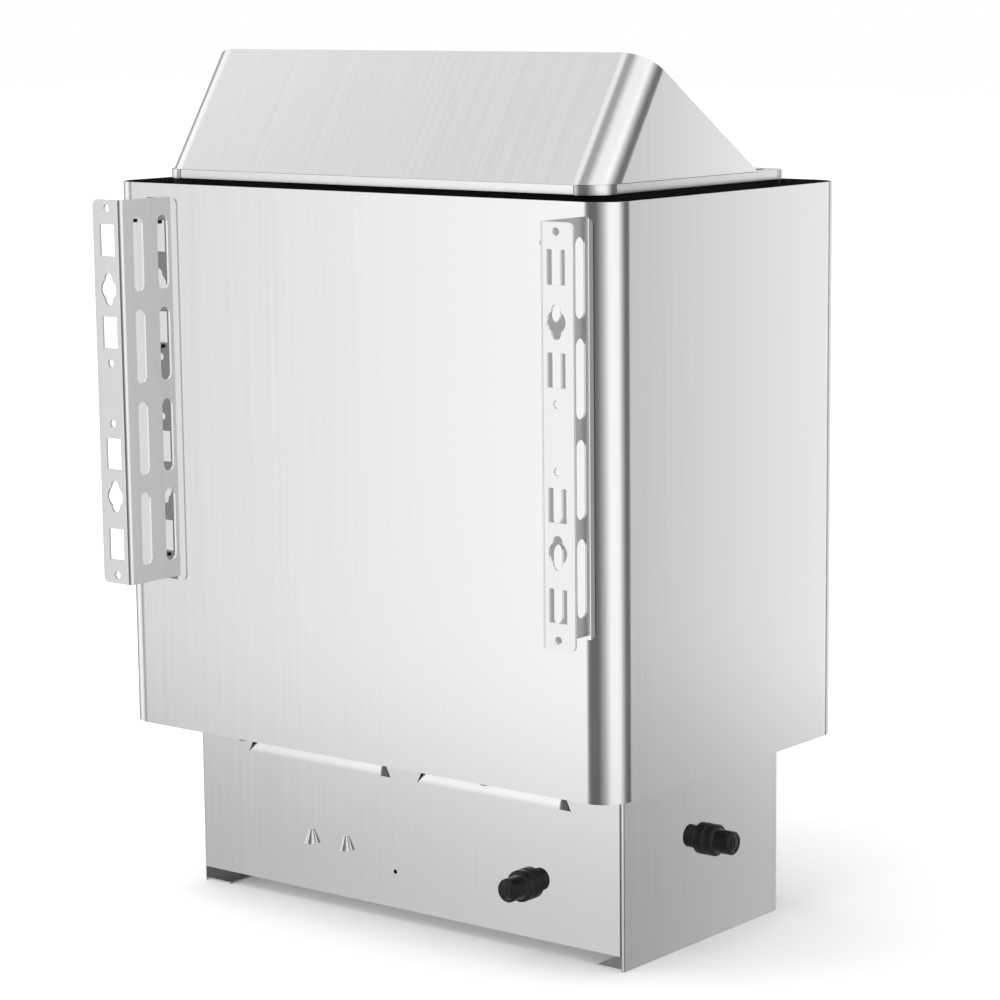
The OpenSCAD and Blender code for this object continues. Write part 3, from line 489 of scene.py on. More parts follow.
@dataclass(frozen=True)
class HeatedSheath(Patchy):
    """Element tube of a straw tone, tinted brown and blue where it glows most."""

    tone: Triple = (0.33, 0.30, 0.26)
    brown: Triple = (0.10, 0.085, 0.085)
    blue: Triple = (0.07, 0.08, 0.11)
    # Heights between which straw turns brown, and how far the patches shift them
    browning: Pair = (0.17, 0.30)
    drift: float = 0.04
    roughness: float = 0.42
    metallic: float = 0.8
    patches: Pair = (40.0, 4.0)
    rims: Pair = (0.5, 0.8)
    grit: Pair = (1400.0, 2.0)
    relief_strength: float = 0.25

    def color(self, graph: Graph, patches: Value) -> Value:
        """Turns the tube brown above its foot and lays blue patches over it.

        Args:
            graph: The material's graph.
            patches: The noise that the patches follow.

        Returns:
            The colour.
        """
        heat = (graph.axis("Z") + patches.swing(self.drift)).between(*self.browning)
        tube = graph.tint(heat, opaque(self.tone), opaque(self.brown))
        return graph.tint(patches.between(*self.rims), tube, opaque(self.blue))


@dataclass(frozen=True)
class MouldedPlastic(Patchy):
    """Plastic with the fine texture of its mould, a little worn."""

    roughness: float = 0.42
    metallic: float = 0.0
    patch_shade: Pair = (1.25, 0.004)
    patches: Pair = (60.0, 3.0)
    rims: Pair = (0.4, 0.8)
    grit: Pair = (1800.0, 2.0)
    relief: float = 0.03 * MM
    relief_strength: float = 0.3
    rough_swing: float = 0.12
    rough_with_grit: bool = True


@dataclass(frozen=True)
class TurnedMetal(Patchy):
    """Turned, drawn or plated small metal parts, a little stained."""

    patch_shade: Pair = (0.75, 0.0)
    patches: Pair = (180.0, 4.0)
    grit: Pair = (2600.0, 1.0)
    relief: float = 0.01 * MM
    relief_strength: float = 0.15


def rail_steel(name: str, tone: float, web_shading_share: float) -> BrushedSteel:
    """Finish of a wall rail with painted light and shade: its web's tone is a share of its
    flange's.

    Args:
        name: The material's name.
        tone: The flange's tone.
        web_shading_share: The web's tone, as a share of the flange's.

    Returns:
        The finish.
    """
    flange = (FLANGE_FROM_Y, BEYOND_ALL)
    return BrushedSteel(
        name, tone, roughness=0.24, unpainted_within=flange, tone_axis="Y", painted_shading_share=web_shading_share
    )


FINISHES: dict[str, Finish] = {
    "brushed_shell": BrushedSteel("brushed shell"),
    "plain_steel": BrushedSteel("plain sheet steel", tone=0.55, roughness=0.38, streak=0.03),
    "inner_steel": NearBlackSteel("sooty jacket steel"),
    "rod_steel": BrushedSteel("drawn rod", 0.42, roughness=0.36, grain=Grain.ROUND, streak=0.06),
    "element_sheath": HeatedSheath("element sheath"),
    "gland_nylon": MouldedPlastic("gland nylon", (0.007, 0.007, 0.0075), 0.32, gloss=0.32),
    "seal_rubber": MouldedPlastic("seal rubber", (0.008, 0.008, 0.008), 0.75),
    "knob_plastic": MouldedPlastic("knob plastic", (0.012, 0.012, 0.013), 0.42, gloss=0.4),
    "cream_plastic": MouldedPlastic("cream plastic", (0.66, 0.61, 0.50), 0.5),
    "button_plastic": MouldedPlastic("button plastic", (0.42, 0.02, 0.012), 0.25, coat=0.2),
    "lead_silicone": MouldedPlastic("lead silicone", (0.26, 0.045, 0.03), 0.55),
    "brass": TurnedMetal("brass", (0.72, 0.50, 0.20)),
    "copper": TurnedMetal("copper", (0.78, 0.42, 0.26)),
    "screw_steel": TurnedMetal("zinc-plated steel", (0.56, 0.57, 0.58), 0.28),
    # Painted light on the left rail's web, painted shade on the right rail's web
    "left_rail_steel": rail_steel("left rail steel", 0.72, web_shading_share=1.24),
    "right_rail_steel": rail_steel("right rail steel", 0.74, web_shading_share=0.74),
    "hood_steel": BrushedSteel("hood steel", 0.8, streak=0.11, wrap=160 * MM),
    # Painted shade on the foot plates inside the rail angles, behind the webs, outside the span
    "plate_steel": BrushedSteel("foot plate steel", unpainted_within=(-191 * MM, 152 * MM)),
    # Near-black steel for the small back screws
    "near_black_screw_steel": TurnedMetal("blackened screw steel", (0.012, 0.012, 0.012), 0.5),
}

# Nodes that have a finish of their own in place of their slot's
VARIANTS = {
    "hood": "hood_steel",
    "left_wall_rail": "left_rail_steel",
    "right_wall_rail": "right_rail_steel",
    "left_foot_plate": "plate_steel",
    "right_foot_plate": "plate_steel",
    "back_screws": "near_black_screw_steel",
}


def facing(way: Vector, axis: str = "-Z") -> Matrix:
    """The turn that points one of an object's axes along a way, its Y up."""
    return way.to_track_quat(axis, "Y").to_matrix().to_4x4()


@dataclass(frozen=True)
class Softbox:
    """One square lamp with soft light."""

    name: str
    at: Triple
    size: float
    watts: float


@dataclass
class Studio:
    """The pale room, its lamps and the camera behind the heater."""

    # The camera's angles in degrees, and its place; its lens and the picture's middle in pixels
    azimuth: float = 217.65
    elevation: float = 9.94
    roll: float = -0.42
    camera_at: Triple = (-1.32078, 1.62220, 0.60821)
    focal_px: float = 3195.41
    principal_px: Pair = (560.0, 543.49)
    picture_px: float = 1000.0
    sensor_mm: float = 36.0
    clip: Pair = (0.05, 100.0)
    floor_half: float = 14.0
    floor_level: float = -0.0002
    floor_tone: float = 0.97
    # Light added to the floor for the camera alone, near and far, and where it grows
    floor_lift: Pair = (0.13, 0.6)
    far_floor: Pair = (0.25, 1.6)
    # How dark polished sheet sees the floor next to the base, and how far out that reaches
    foot_shade: float = 0.36
    foot_reach: float = 0.8
    # The room as dull surfaces and as the camera sees it
    fill: float = 0.72
    backdrop: float = 1.0
    # The walls as a polished sheet sees them: plan angle as a share of a turn, then level.
    # 0.5 is the wall side, 0.75 the -X side.
    walls: tuple[Pair, ...] = (
        (0.0, 1.0), (0.08, 0.9), (0.12, 0.42), (0.215, 0.42), (0.24, 1.25), (0.305, 1.25),
        (0.328, 0.4), (0.342, 0.4), (0.359, 0.84), (0.372, 0.86), (0.395, 1.42), (0.412, 1.48),
        (0.43, 0.6), (0.45, 0.18), (0.545, 0.18), (0.605, 0.6), (0.66, 1.3), (0.755, 1.3),
        (0.795, 0.6), (0.83, 0.17), (0.878, 0.17), (0.889, 0.4), (0.897, 0.48), (0.911, 1.56),
        (0.93, 1.66), (0.938, 0.2), (0.96, 0.2), (0.975, 1.0), (1.0, 1.0),
    )
    # The vault over the walls: a softer copy of them, never brighter than the limit
    vault_from: Pair = (0.44, 0.58)
    vault_power: float = 0.6
    vault_gain: float = 1.2
    vault_limit: float = 1.08
    # The even ground under the walls, and how far down they reach
    ground_from: Pair = (0.35, 0.8)
    ground: float = 0.75
    softboxes: tuple[Softbox, ...] = (
        Softbox("softbox_above", (0.2, 0.5, 2.4), 2.2, 34.0),
        Softbox("softbox_left", (1.9, 1.7, 1.3), 1.4, 12.0),
    )
    lamps_aim: Triple = (0.0, 0.0, 0.28)

    def camera(self) -> None:
        """Sets the camera at the photograph's place and angle."""
        plan, rise = math.radians(self.azimuth), math.radians(self.elevation)
        level = math.cos(rise)
        back = Vector((math.sin(plan) * level, -math.cos(plan) * level, math.sin(rise)))
        data = bpy.data.cameras.new("studio_camera")
        data.sensor_width = self.sensor_mm
        data.lens = self.focal_px * self.sensor_mm / self.picture_px
        half = self.picture_px / 2
        data.shift_x = (half - self.principal_px[0]) / self.picture_px
        data.shift_y = (self.principal_px[1] - half) / self.picture_px
        data.clip_start, data.clip_end = self.clip
        seen = bpy.data.objects.new("studio_camera", data)
        bpy.context.scene.collection.objects.link(seen)
        roll = Matrix.Rotation(math.radians(self.roll), 4, "Z")
        seen.matrix_world = Matrix.Translation(self.camera_at) @ facing(-back) @ roll
        bpy.context.scene.camera = seen

    def floor(self) -> None:
        """Lays a white floor that keeps the heater's soft shadow."""
        bpy.ops.object.select_all(action="DESELECT")
        bpy.ops.mesh.primitive_plane_add(size=2 * self.floor_half, location=(0, 0, 0))
        plane = bpy.context.object
        plane.name = "studio_floor"
        plane.data.transform(Matrix.Translation((0, 0, self.floor_level)))
        graph = Graph(bpy.data.materials.new("studio floor"))
        length = {"operation": "LENGTH"}
        away = graph.node("ShaderNodeVectorMath", length, {0: graph.place}, "Value")
        raised = graph.blend(away.between(*self.far_floor), *self.floor_lift)
        lift = graph.glow(1.0, graph.ray("Camera") * raised)
        plain = graph.node("ShaderNodeBsdfDiffuse", None, {"Color": grey(self.floor_tone)})
        lit = graph.node("ShaderNodeAddShader", None, {0: plain, 1: lift})
        clear = graph.node("ShaderNodeBsdfTransparent", None, {"Color": grey(1.0)})
        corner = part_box("base_shell")[1]
        beside, behind = (graph.axis(name).magnitude() - at for name, at in zip("XY", corner))
        reach = graph.math("MAXIMUM", beside, behind)
        shade = (1 - reach.between(0.0, self.foot_reach)) * self.foot_shade
        mirrored = graph.either(shade, clear, graph.glow(0.0, 0.0))
        graph.end(graph.either(graph.ray("Glossy"), lit, mirrored))
        plane.data.materials.append(graph.owner)

    def world(self) -> None:
        """Surrounds the heater with a soft white room, darker between its light walls."""
        world = bpy.data.worlds.new("studio room")
        bpy.context.scene.world = world
        graph = Graph(world)
        way = graph.node("ShaderNodeTexCoord", outlet="Generated")
        east, north, height = (graph.axis(name, way) for name in "XYZ")
        turn = graph.math("ARCTAN2", 0 - east, north) / (2 * math.pi) + 0.5
        walls = graph.ramp(turn, self.walls)
        softer = walls ** self.vault_power * self.vault_gain
        vault = graph.math("MINIMUM", softer, self.vault_limit)
        up, down = height.between(*self.vault_from), (0 - height).between(*self.ground_from)
        room = graph.blend(down, graph.blend(up, walls, vault), self.ground)
        seen = graph.blend(graph.ray("Glossy"), self.fill, room)
        level = graph.blend(graph.ray("Camera"), seen, self.backdrop)
        graph.end(graph.node("ShaderNodeBackground", None, {"Color": grey(1.0), "Strength": level}))

    def lamp(self, box: Softbox) -> None:
        """Hangs one softbox that looks at the heater's middle.

        Args:
            box: The softbox.
        """
        data = bpy.data.lights.new(box.name, "AREA")
        data.shape, data.size, data.energy = "SQUARE", box.size, box.watts
        hung = bpy.data.objects.new(box.name, data)
        bpy.context.scene.collection.objects.link(hung)
        way = Vector(self.lamps_aim) - Vector(box.at)
        hung.matrix_world = Matrix.Translation(box.at) @ facing(way)
        hung.visible_glossy = False

    def build(self) -> None:
        """Builds camera, floor, room and lamps."""
        self.camera()
        self.floor()
        self.world()
        for box in self.softboxes:
            self.lamp(box)
        bpy.context.scene.view_settings.view_transform = "Standard"
        log.info("studio: camera, floor, room and lamps")


@dataclass
class Wardrobe:
    """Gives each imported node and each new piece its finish."""

    # The materials made so far, by finish
    made: dict[str, bpy.types.Material] = field(default_factory=dict)
    # What stands close to the polished back, and would double in it
    unmirrored: tuple[str, ...] = (
        "left_wall_rail", "right_wall_rail", "left_foot_plate", "right_foot_plate",
        "rear_gland", "side_gland",
    )

    def put_on(self, piece: Piece, finish: str) -> None:
        """Gives one object its material, which is made once.

        Args:
            piece: The object.
            finish: The finish's name.
        """
        if finish not in self.made:
            self.made[finish] = FINISHES[finish].make()
        piece.data.materials.clear()
        piece.data.materials.append(self.made[finish])
        piece.visible_glossy = not piece.name.startswith(self.unmirrored)

    def hang(self, piece: Piece, slot: str, body: str = "heater", node: str = "") -> None:
        """Finishes one new piece and lets it move with a body.

        Args:
            piece: The new piece.
            slot: The record's slot that it takes its finish from.
            body: The body that it rides on.
            node: The node that it stands for, where that may have a finish of its own.
        """
        self.put_on(piece, VARIANTS.get(node, slot))
        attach(piece, body)

    def dress(self) -> None:
        """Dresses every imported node."""
        for part in frame["record"]["subparts"]:
            node = frame["nodes"][part["node"]]
            self.put_on(node, VARIANTS.get(part["node"], part["material_slot"]))
        log.info("%d nodes dressed", len(frame["nodes"]))


def only(*pieces: Piece) -> None:
    """Selects these objects and nothing else.

    Args:
        pieces: The objects; the first becomes the active one.
    """
    bpy.ops.object.select_all(action="DESELECT")
    for piece in pieces:
        piece.select_set(True)
    bpy.context.view_layer.objects.active = pieces[0]


def smooth(piece: Piece, bend: float = HARD_BEND) -> None:
    """Shades a piece smooth, but for the edges that bend more than an angle."""
    only(piece)
    bpy.ops.object.shade_smooth_by_angle(angle=bend)


def settle(piece: Piece, name: str) -> Piece:
    """Names a piece and moves its place into its mesh.

    Args:
        piece: The piece.
        name: Its name.

    Returns:
        The same piece.
    """
    only(piece)
    bpy.ops.object.transform_apply(location=True, rotation=True, scale=True)
    piece.name = piece.data.name = name
    return piece


def open_mesh(piece: Piece) -> None:
    """Opens a piece's mesh with all of it selected, and joins points that lie together.

    Args:
        piece: The piece, which stays open for more changes.
    """
    only(piece)
    bpy.ops.object.mode_set(mode="EDIT")
    bpy.ops.mesh.select_all(action="SELECT")
    bpy.ops.mesh.remove_doubles(threshold=MERGE)


def apply_change(piece: Piece, name: str, kind: str, **settings: object) -> None:
    """Gives a piece a modifier and applies it.

    Args:
        piece: The piece.
        name: The modifier's name.
        kind: Its type.
        settings: Its settings, by name.
    """
    only(piece)
    change = piece.modifiers.new(name, kind)
    for key, value in settings.items():
        setattr(change, key, value)
    bpy.ops.object.modifier_apply(modifier=change.name)


@dataclass
class Sheetwork:
    """The folded sheets, the terminal block and the knobs, copied with softened edges."""

    wardrobe: Wardrobe
    edge: float = 0.3 * MM
    knob_edge: float = 0.7 * MM
    segments: int = 2
    # Faces that bend less than this are one face, and edges that bend less stay as they are
    flat: float = math.radians(1.0)
    sharp: float = math.radians(32.0)
    flat_weight: int = 100
    sheets: tuple[str, ...] = (
        "outer_casing", "hood", "rim_rails", "base_shell", "base_front_cover",
        "left_wall_rail", "right_wall_rail", "left_foot_plate", "right_foot_plate",
        "terminal_block",
    )
    knobs: tuple[tuple[str, str], ...] = (
        ("timer_knob", "timer_control"), ("thermostat_knob", "thermostat_control"),
    )

    def soften(self, node: str, edge: float, body: str = "heater") -> None:
        """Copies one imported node, joins its faces and rounds its sharp edges.

        Args:
            node: The node's name.
            edge: The radius of the rounding.
            body: The body that the copy rides on.
        """
        packed = frame["nodes"][node]
        piece = bpy.data.objects.new(f"{node}_soft", packed.data.copy())
        bpy.context.scene.collection.objects.link(piece)
        open_mesh(piece)
        bpy.ops.mesh.customdata_custom_splitnormals_clear()
        bpy.ops.mesh.dissolve_limited(angle_limit=self.flat)
        bpy.ops.object.mode_set(mode="OBJECT")
        apply_change(
            piece, "edges", "BEVEL", width=edge, segments=self.segments,
            limit_method="ANGLE", angle_limit=self.sharp, use_clamp_overlap=True,
        )
        smooth(piece, self.sharp)
        apply_change(
            piece, "flat faces stay flat", "WEIGHTED_NORMAL",
            weight=self.flat_weight, keep_sharp=True,
        )
        slot = next(p["material_slot"] for p in frame["record"]["subparts"] if p["node"] == node)
        self.wardrobe.hang(piece, slot, body, node)
        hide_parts(node)

    def build(self) -> None:
        """Softens every visible sheet and both knobs."""
        for node in self.sheets:
            self.soften(node, self.edge)
            log.info("sheet: %s", node)
        for node, body in self.knobs:
            self.soften(node, self.knob_edge, body)
            log.info("knob: %s", node)


def turned(name: str, rings: list[Pair], hollow: bool = False, sides: int = 64) -> Piece:
    """Turns a round piece about Z.

    Args:
        name: The piece's name.
        rings: Height and radius of each ring, in order along the outline.
        hollow: Whether the outline comes back to its first ring, as a tube's does.
        sides: The number of flats round the piece.

    Returns:
        The closed piece, standing at the origin.
    """
    height, radius = rings[0]
    bpy.ops.object.select_all(action="DESELECT")
    bpy.ops.mesh.primitive_circle_add(
        vertices=sides, radius=radius, location=(0, 0, height),
        fill_type="NOTHING" if hollow else "NGON",
    )
    piece = bpy.context.object
    bpy.ops.object.mode_set(mode="EDIT")
    bpy.ops.mesh.select_all(action="SELECT")
    for next_height, next_radius in rings[1:] + (rings[:1] if hollow else []):
        step = {"value": (0, 0, next_height - height)}
        bpy.ops.mesh.extrude_region_move(TRANSFORM_OT_translate=step)
        share = next_radius / radius
        bpy.ops.transform.resize(value=(share, share, 1), center_override=(0, 0, next_height))
        height, radius = next_height, next_radius
    bpy.ops.mesh.select_all(action="SELECT")
    bpy.ops.mesh.remove_doubles(threshold=MERGE)
    bpy.ops.mesh.normals_make_consistent(inside=False)
    bpy.ops.object.mode_set(mode="OBJECT")
    smooth(piece)
    return settle(piece, name)


def arc(middle: Pair, radius: float, start: float, end: float, steps: int = 5) -> list[Pair]:
    """Rings that follow a round stretch of an outline.

    Args:
        middle: Height and radius of the arc's middle.
        radius: The arc's own radius.
        start: Its first angle in degrees, 0 pointing away from the axis and 90 towards the tip.
        end: Its last angle in degrees.
        steps: The number of rings less one.

    Returns:
        The rings.
    """
    turns = [math.radians(start + (end - start) * k / steps) for k in range(steps + 1)]
    return [(middle[0] + radius * math.sin(t), middle[1] + radius * math.cos(t)) for t in turns]


def cut(piece: Piece, cutter: Piece) -> None:
    """Cuts one closed piece out of another and throws the cutter away.

    Args:
        piece: The piece that is cut.
        cutter: The piece that is taken out of it.
    """
    apply_change(piece, "cut", "BOOLEAN", operation="DIFFERENCE", solver="EXACT", object=cutter)
    bpy.data.objects.remove(cutter)


def bar(size: Triple, at: Triple) -> Piece:
    """A square bar, the blank that cutters and marks are made from.

    Args:
        size: Its length along X, Y and Z.
        at: Its middle.

    Returns:
        The bar.
    """
    bpy.ops.object.select_all(action="DESELECT")
    bpy.ops.mesh.primitive_cube_add(size=1, location=at)
    made = bpy.context.object
    made.scale = size
    return settle(made, "bar")


def placed_copy(piece: Piece, name: str, place: Matrix) -> Piece:
    """Copies a piece with its own mesh and moves the mesh.

    Args:
        piece: The piece that is copied.
        name: The copy's name.
        place: Where the copy goes.

    Returns:
        The copy.
    """
    copy = bpy.data.objects.new(name, piece.data.copy())
    bpy.context.scene.collection.objects.link(copy)
    copy.matrix_world = place
    return settle(copy, name)


def joined(pieces: list[Piece], name: str) -> Piece:
    """Joins pieces into one.

    Args:
        pieces: The pieces.
        name: The name of the result.

    Returns:
        The joined piece.
    """
    only(*pieces)
    bpy.ops.object.join()
    return settle(pieces[0], name)


@dataclass
class CableGland:
    """A black nylon gland: threaded body, clamp nut and slotted plug."""

    wardrobe: Wardrobe
    neck_r: float = 7.3 * MM
    neck_l: float = 9.0 * MM
    collar_r: float = 10.2 * MM
    collar_l: float = 6.0 * MM
    groove_l: float = 1.5 * MM
    spigot_r: float = 7.0 * MM
    outlet_r: float = 7.6 * MM
    outlet_l: float = 12.0 * MM
    bore_r: float = 5.2 * MM
    play: float = 0.06 * MM
    thread_pitch: float = 1.5 * MM
    thread_depth: float = 0.3 * MM
    # One thread turn: the share of the pitch, then the share of the depth
    thread: tuple[Pair, ...] = ((0.15, 0.0), (0.4, 1.0), (0.6, 1.0), (0.85, 0.0))
    edge: float = 0.5 * MM
    nose: float = 1.3 * MM
    # The plug's rounded end: how many domes below the tip, then the share of its radius
    plug_dome: float = 0.5 * MM
    plug_end: tuple[Pair, ...] = ((2.0, 1.0), (1.0, 0.97), (1 / 3, 0.72), (0.0, 0.3))
    slot_w: float = 1.2 * MM
    slot_l: float = 7.4 * MM
    slot_depth: float = 1.4 * MM

    @property
    def shoulder(self) -> float:
        """Where the nut's collar ends and its outlet starts, from the panel's face."""
        return self.neck_l + 2 * self.collar_l + self.groove_l

    def body(self, shank: float) -> Piece:
        """Turns the threaded body.

        Args:
            shank: The length inside the panel.

        Returns:
            The body, its panel face at the origin.
        """
        root = self.neck_r - self.thread_depth
        outline = [(-shank, self.bore_r), (-shank, root)]
        for k in range(int((shank + self.neck_l) / self.thread_pitch)):
            start = -shank + k * self.thread_pitch
            outline += [
                (start + along * self.thread_pitch, root + out * self.thread_depth)
                for along, out in self.thread
            ]
        top = self.neck_l + self.collar_l
        rim_r = self.collar_r - self.edge
        outline += arc((self.neck_l + self.edge, rim_r), self.edge, -90, 0)
        outline += arc((top - self.edge, rim_r), self.edge, 0, 90)
        tip = self.shoulder
        outline += [(top, self.spigot_r), (tip, self.spigot_r), (tip, self.bore_r)]
        return turned("gland_body_blank", outline, hollow=True)

    def nut(self) -> Piece:
        """Turns the clamp nut with its outlet.

        Returns:
            The nut, with the panel face at the origin.
        """
        shoulder, tip = self.shoulder, self.shoulder + self.outlet_l
        foot = shoulder - self.collar_l
        wide, narrow = self.spigot_r + self.play, self.bore_r + self.play
        outline = [(foot, wide)]
        outline += arc((foot + self.edge, self.collar_r - self.edge), self.edge, -90, 0)
        outline += arc((shoulder - self.nose, self.collar_r - self.nose), self.nose, 0, 90)
        outline += [(shoulder, self.outlet_r + self.edge), (shoulder + self.edge, self.outlet_r)]
        outline += arc((tip - self.nose, self.outlet_r - self.nose), self.nose, 0, 90)
        seat = shoulder + self.play
        outline += [(tip, narrow), (seat, narrow), (seat, wide)]
        return turned("gland_nut_blank", outline, hollow=True)

    def plug(self) -> Piece:
        """Turns the blanking plug and cuts its slot.

        Returns:
            The plug, with the panel face at the origin.
        """
        tip = self.shoulder + self.outlet_l
        side = self.bore_r - self.play
        outline = [(self.shoulder - self.collar_l, side)]
        outline += [(tip - domes * self.plug_dome, side * share) for domes, share in self.plug_end]
        made = turned("gland_plug_blank", outline)
        cut(made, bar((self.slot_w, self.slot_l, 2 * self.slot_depth), (0, 0, tip)))
        smooth(made)
        return made

    def build(self, side: str, turn: Matrix, foot: Vector, shank: float) -> None:
        """Builds one gland in its place.

        Args:
            side: The start of the nodes' names.
            turn: The turn that takes +Z to the gland's outward way.
            foot: The gland's middle on the panel's outer face.
            shank: The length of the body inside the panel.
        """
        place = Matrix.Translation(foot) @ turn
        for part, blank in (("body", self.body(shank)), ("nut", self.nut()), ("plug", self.plug())):
            piece = placed_copy(blank, f"{side}_{part}_turned", place)
            bpy.data.objects.remove(blank)
            self.wardrobe.hang(piece, "gland_nylon")
            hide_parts(f"{side}_{part}")
            log.info("gland: %s %s", side, part)

    def build_both(self) -> None:
        """Builds the rear and the side gland from their nodes' boxes."""
        low, high = (Vector(c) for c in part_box("rear_gland_body"))
        middle = (low + high) / 2
        foot = Vector((middle.x, high.y - self.shoulder, middle.z))
        backwards = Matrix.Rotation(-QUARTER, 4, "X")
        self.build("rear_gland", backwards, foot, high.y - low.y - self.shoulder)
        low, high = (Vector(c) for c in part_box("side_gland_body"))
        middle = (low + high) / 2
        foot = Vector((low.x + self.shoulder, middle.y, middle.z))
        sideways = Matrix.Rotation(-QUARTER, 4, "Y") @ Matrix.Rotation(QUARTER, 4, "Z")
        self.build("side_gland", sideways, foot, high.x - low.x - self.shoulder)


@dataclass
class Screws:
    """Pan-head screws with a cross recess, one made for every packed screw."""

    wardrobe: Wardrobe
    # The share of the head's height that is straight, then the dome's angles and its fullness
    lip_share: float = 0.34
    dome_turns: tuple[float, ...] = (0, 18, 36, 54, 70, 82)
    dome_power: float = 0.6
    recess_w: float = 0.9 * MM
    recess_share: float = 0.62
    sides: int = 32
    # How exactly a packed screw's points are read: round, on the rim and on the tail
    round_within: float = 0.05 * MM
    rim_share: float = 0.98
    tail_within: float = 0.02 * MM
    nodes: tuple[str, ...] = ("foot_plate_screws", "cover_screws", "casing_screws")

    def screw(self, head_r: float, shank_r: float, head_h: float, length: float) -> Piece:
        """Turns one screw, its head's underside at the origin and its head upwards.

        Args:
            head_r: The head's radius.
            shank_r: The shank's radius.
            head_h: The head's height.
            length: The shank's length.

        Returns:
            The screw.
        """
        lip = head_h * self.lip_share
        rings = [(-length, shank_r), (0.0, shank_r), (0.0, head_r)]
        for t in (math.radians(a) for a in self.dome_turns):
            height = lip + (head_h - lip) * math.sin(t)
            rings.append((height, head_r * math.cos(t) ** self.dome_power))
        made = turned("screw_blank", rings, sides=self.sides)
        for turn in (0.0, QUARTER):
            slot = bar((self.recess_w, 2 * head_r * self.recess_share, head_h), (0, 0, head_h))
            slot.matrix_world = Matrix.Rotation(turn, 4, "Z")
            cut(made, settle(slot, "slot"))
        smooth(made)
        return made

    def build(self) -> None:
        """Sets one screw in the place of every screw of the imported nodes."""
        for node in self.nodes:
            open_mesh(placed_copy(frame["nodes"][node], f"{node}_blank", Matrix.Identity(4)))
            bpy.ops.mesh.separate(type="LOOSE")
            bpy.ops.object.mode_set(mode="OBJECT")
            packed = list(bpy.context.selected_objects)
            made = [self.set_one(old) for old in packed]
            for old in packed:
                bpy.data.objects.remove(old)
            piece = joined(made, f"{node}_turned")
            self.wardrobe.hang(piece, "screw_steel")
            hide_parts(node)
            log.info("screws: %s, %d", node, len(made))

    def set_one(self, old: Piece) -> Piece:
        """Makes one screw that fills a packed screw's place.

        Args:
            old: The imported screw, alone.

        Returns:
            The new screw.
        """
        points = [v.co for v in old.data.vertices]
        low = Vector(min(p[k] for p in points) for k in range(3))
        high = Vector(max(p[k] for p in points) for k in range(3))
        size, middle = high - low, (low + high) / 2
        along = next(
            k for k in range(3) if abs(size[(k + 1) % 3] - size[(k + 2) % 3]) < self.round_within
        )
        head_r = size[(along + 1) % 3] / 2

        def off_axis(point: Vector) -> float:
            """Distance of a point from the screw's axis."""
            return math.hypot(*(point[k] - middle[k] for k in range(3) if k != along))

        rim = [p[along] for p in points if off_axis(p) > head_r * self.rim_share]
        if sum(rim) / len(rim) > middle[along]:
            up, seat, top, tail = 1, min(rim), high[along], low[along]
        else:
            up, seat, top, tail = -1, max(rim), low[along], high[along]
        shank_r = max(off_axis(p) for p in points if abs(p[along] - tail) < self.tail_within)
        made = self.screw(head_r, shank_r, abs(top - seat), abs(seat - tail))
        way, foot = Vector((0, 0, 0)), middle.copy()
        way[along], foot[along] = up, seat
        made.matrix_world = Matrix.Translation(foot) @ facing(way, "Z")
        return settle(made, "screw")


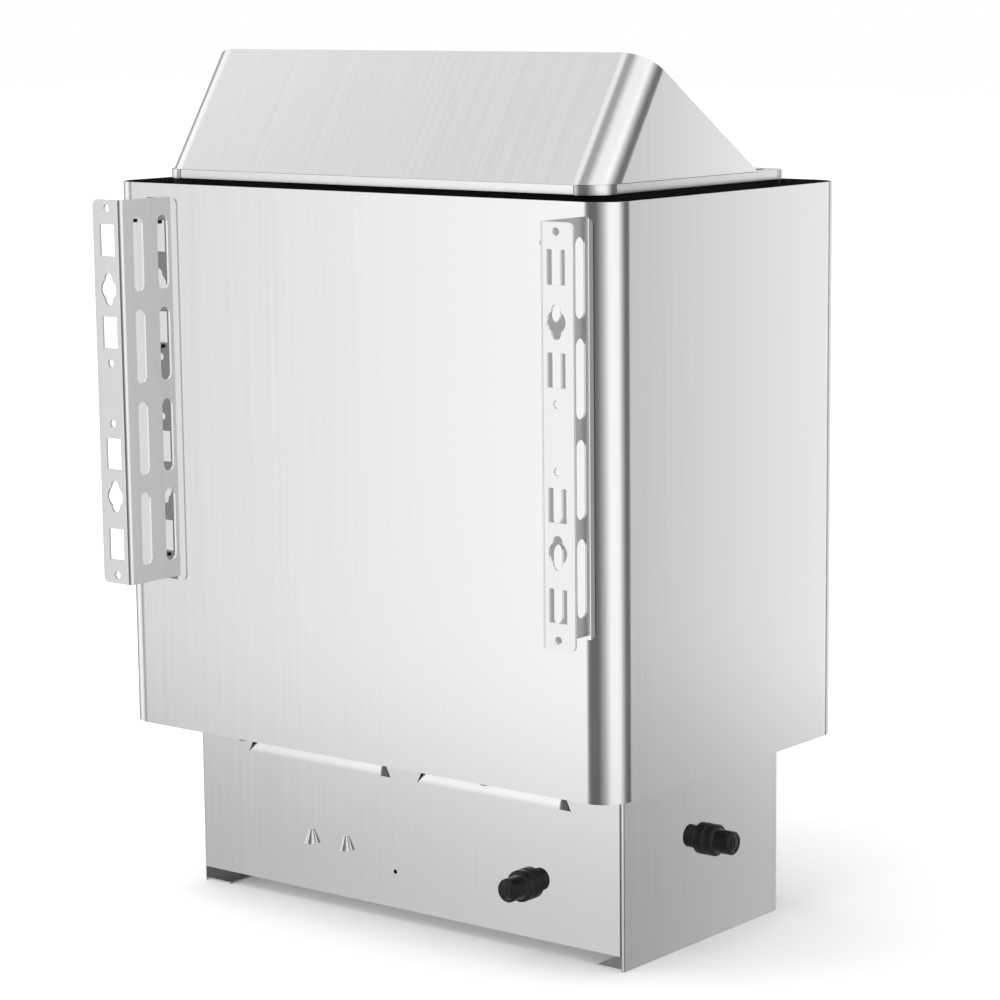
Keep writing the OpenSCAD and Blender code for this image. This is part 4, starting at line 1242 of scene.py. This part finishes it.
@dataclass
class Dials:
    """Tick marks round both knobs and the cream line on each knob's pointer."""

    wardrobe: Wardrobe
    tick_w: float = 0.9 * MM
    tick_l: float = 3.2 * MM
    tick_h: float = 0.12 * MM
    gap: float = 2.6 * MM
    ticks: int = 12
    line_w: float = 1.2 * MM
    line_h: float = 0.15 * MM
    # Where the line starts and ends, as shares of the knob's radius
    line_start: float = 0.24
    line_end: float = 0.8
    # The rims' rounding, as a share of the mark's thickness
    rim_share: float = 0.45
    segments: int = 2

    def mark(self, size: Triple, at: Triple) -> Piece:
        """Makes one thin raised mark with rounded rims.

        Args:
            size: Its length along X, Y and Z; half of its thickness along Y is under the surface.
            at: Its middle, on the surface.

        Returns:
            The mark.
        """
        made = bar(size, at)
        rounding = self.rim_share * size[1]
        apply_change(made, "rims", "BEVEL", width=rounding, segments=self.segments)
        return made

    def pointer(self, knob: str, body: str) -> None:
        """Lays the cream line along the knob's pointer.

        Args:
            knob: The start of the knob node's name.
            body: The body that the knob rides on.
        """
        low, high = (Vector(c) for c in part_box(f"{knob}_knob"))
        middle, radius = (low + high) / 2, (high.x - low.x) / 2
        length = (self.line_end - self.line_start) * radius
        along = middle.z + (self.line_end + self.line_start) / 2 * radius
        line = self.mark((self.line_w, 2 * self.line_h, length), (middle.x, low.y, along))
        line.name = line.data.name = f"{knob}_pointer_line"
        self.wardrobe.hang(line, "cream_plastic", body)
        log.info("dial: %s pointer", knob)

    def marks(self, knob: str, sweep: float) -> None:
        """Puts the ring of tick marks on the front cover.

        Args:
            knob: The start of the knob node's name.
            sweep: How far the knob turns, in degrees.
        """
        low, high = (Vector(c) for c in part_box(f"{knob}_knob"))
        middle = (low + high) / 2
        middle.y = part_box("base_front_cover")[0][1]
        ring = (high.x - low.x) / 2 + self.gap + self.tick_l / 2
        blank = self.mark((self.tick_w, 2 * self.tick_h, self.tick_l), (0, 0, ring))
        made = []
        for k in range(self.ticks):
            turn = Matrix.Rotation(math.radians(sweep * k / (self.ticks - 1)), 4, "Y")
            made.append(placed_copy(blank, "tick", Matrix.Translation(middle) @ turn))
        bpy.data.objects.remove(blank)
        piece = joined(made, f"{knob}_dial_marks")
        self.wardrobe.hang(piece, "knob_plastic")
        log.info("dial: %s, %d marks", knob, self.ticks)

    def build(self) -> None:
        """Marks both dials, as far round as their knobs turn, and both pointers."""
        for joint in frame["record"]["behaviour"]["joints"]:
            if joint["type"] == "hinge":
                knob = joint["name"].removesuffix("_turn")
                self.marks(knob, joint["range_deg"][1])
                self.pointer(knob, joint["child"])


def main() -> None:
    """Builds the heater's looks in order."""
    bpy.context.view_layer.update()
    Studio().build()
    wardrobe = Wardrobe()
    wardrobe.dress()
    Sheetwork(wardrobe).build()
    CableGland(wardrobe).build_both()
    Screws(wardrobe).build()
    Dials(wardrobe).build()


if __name__ == "__main__":
    main()
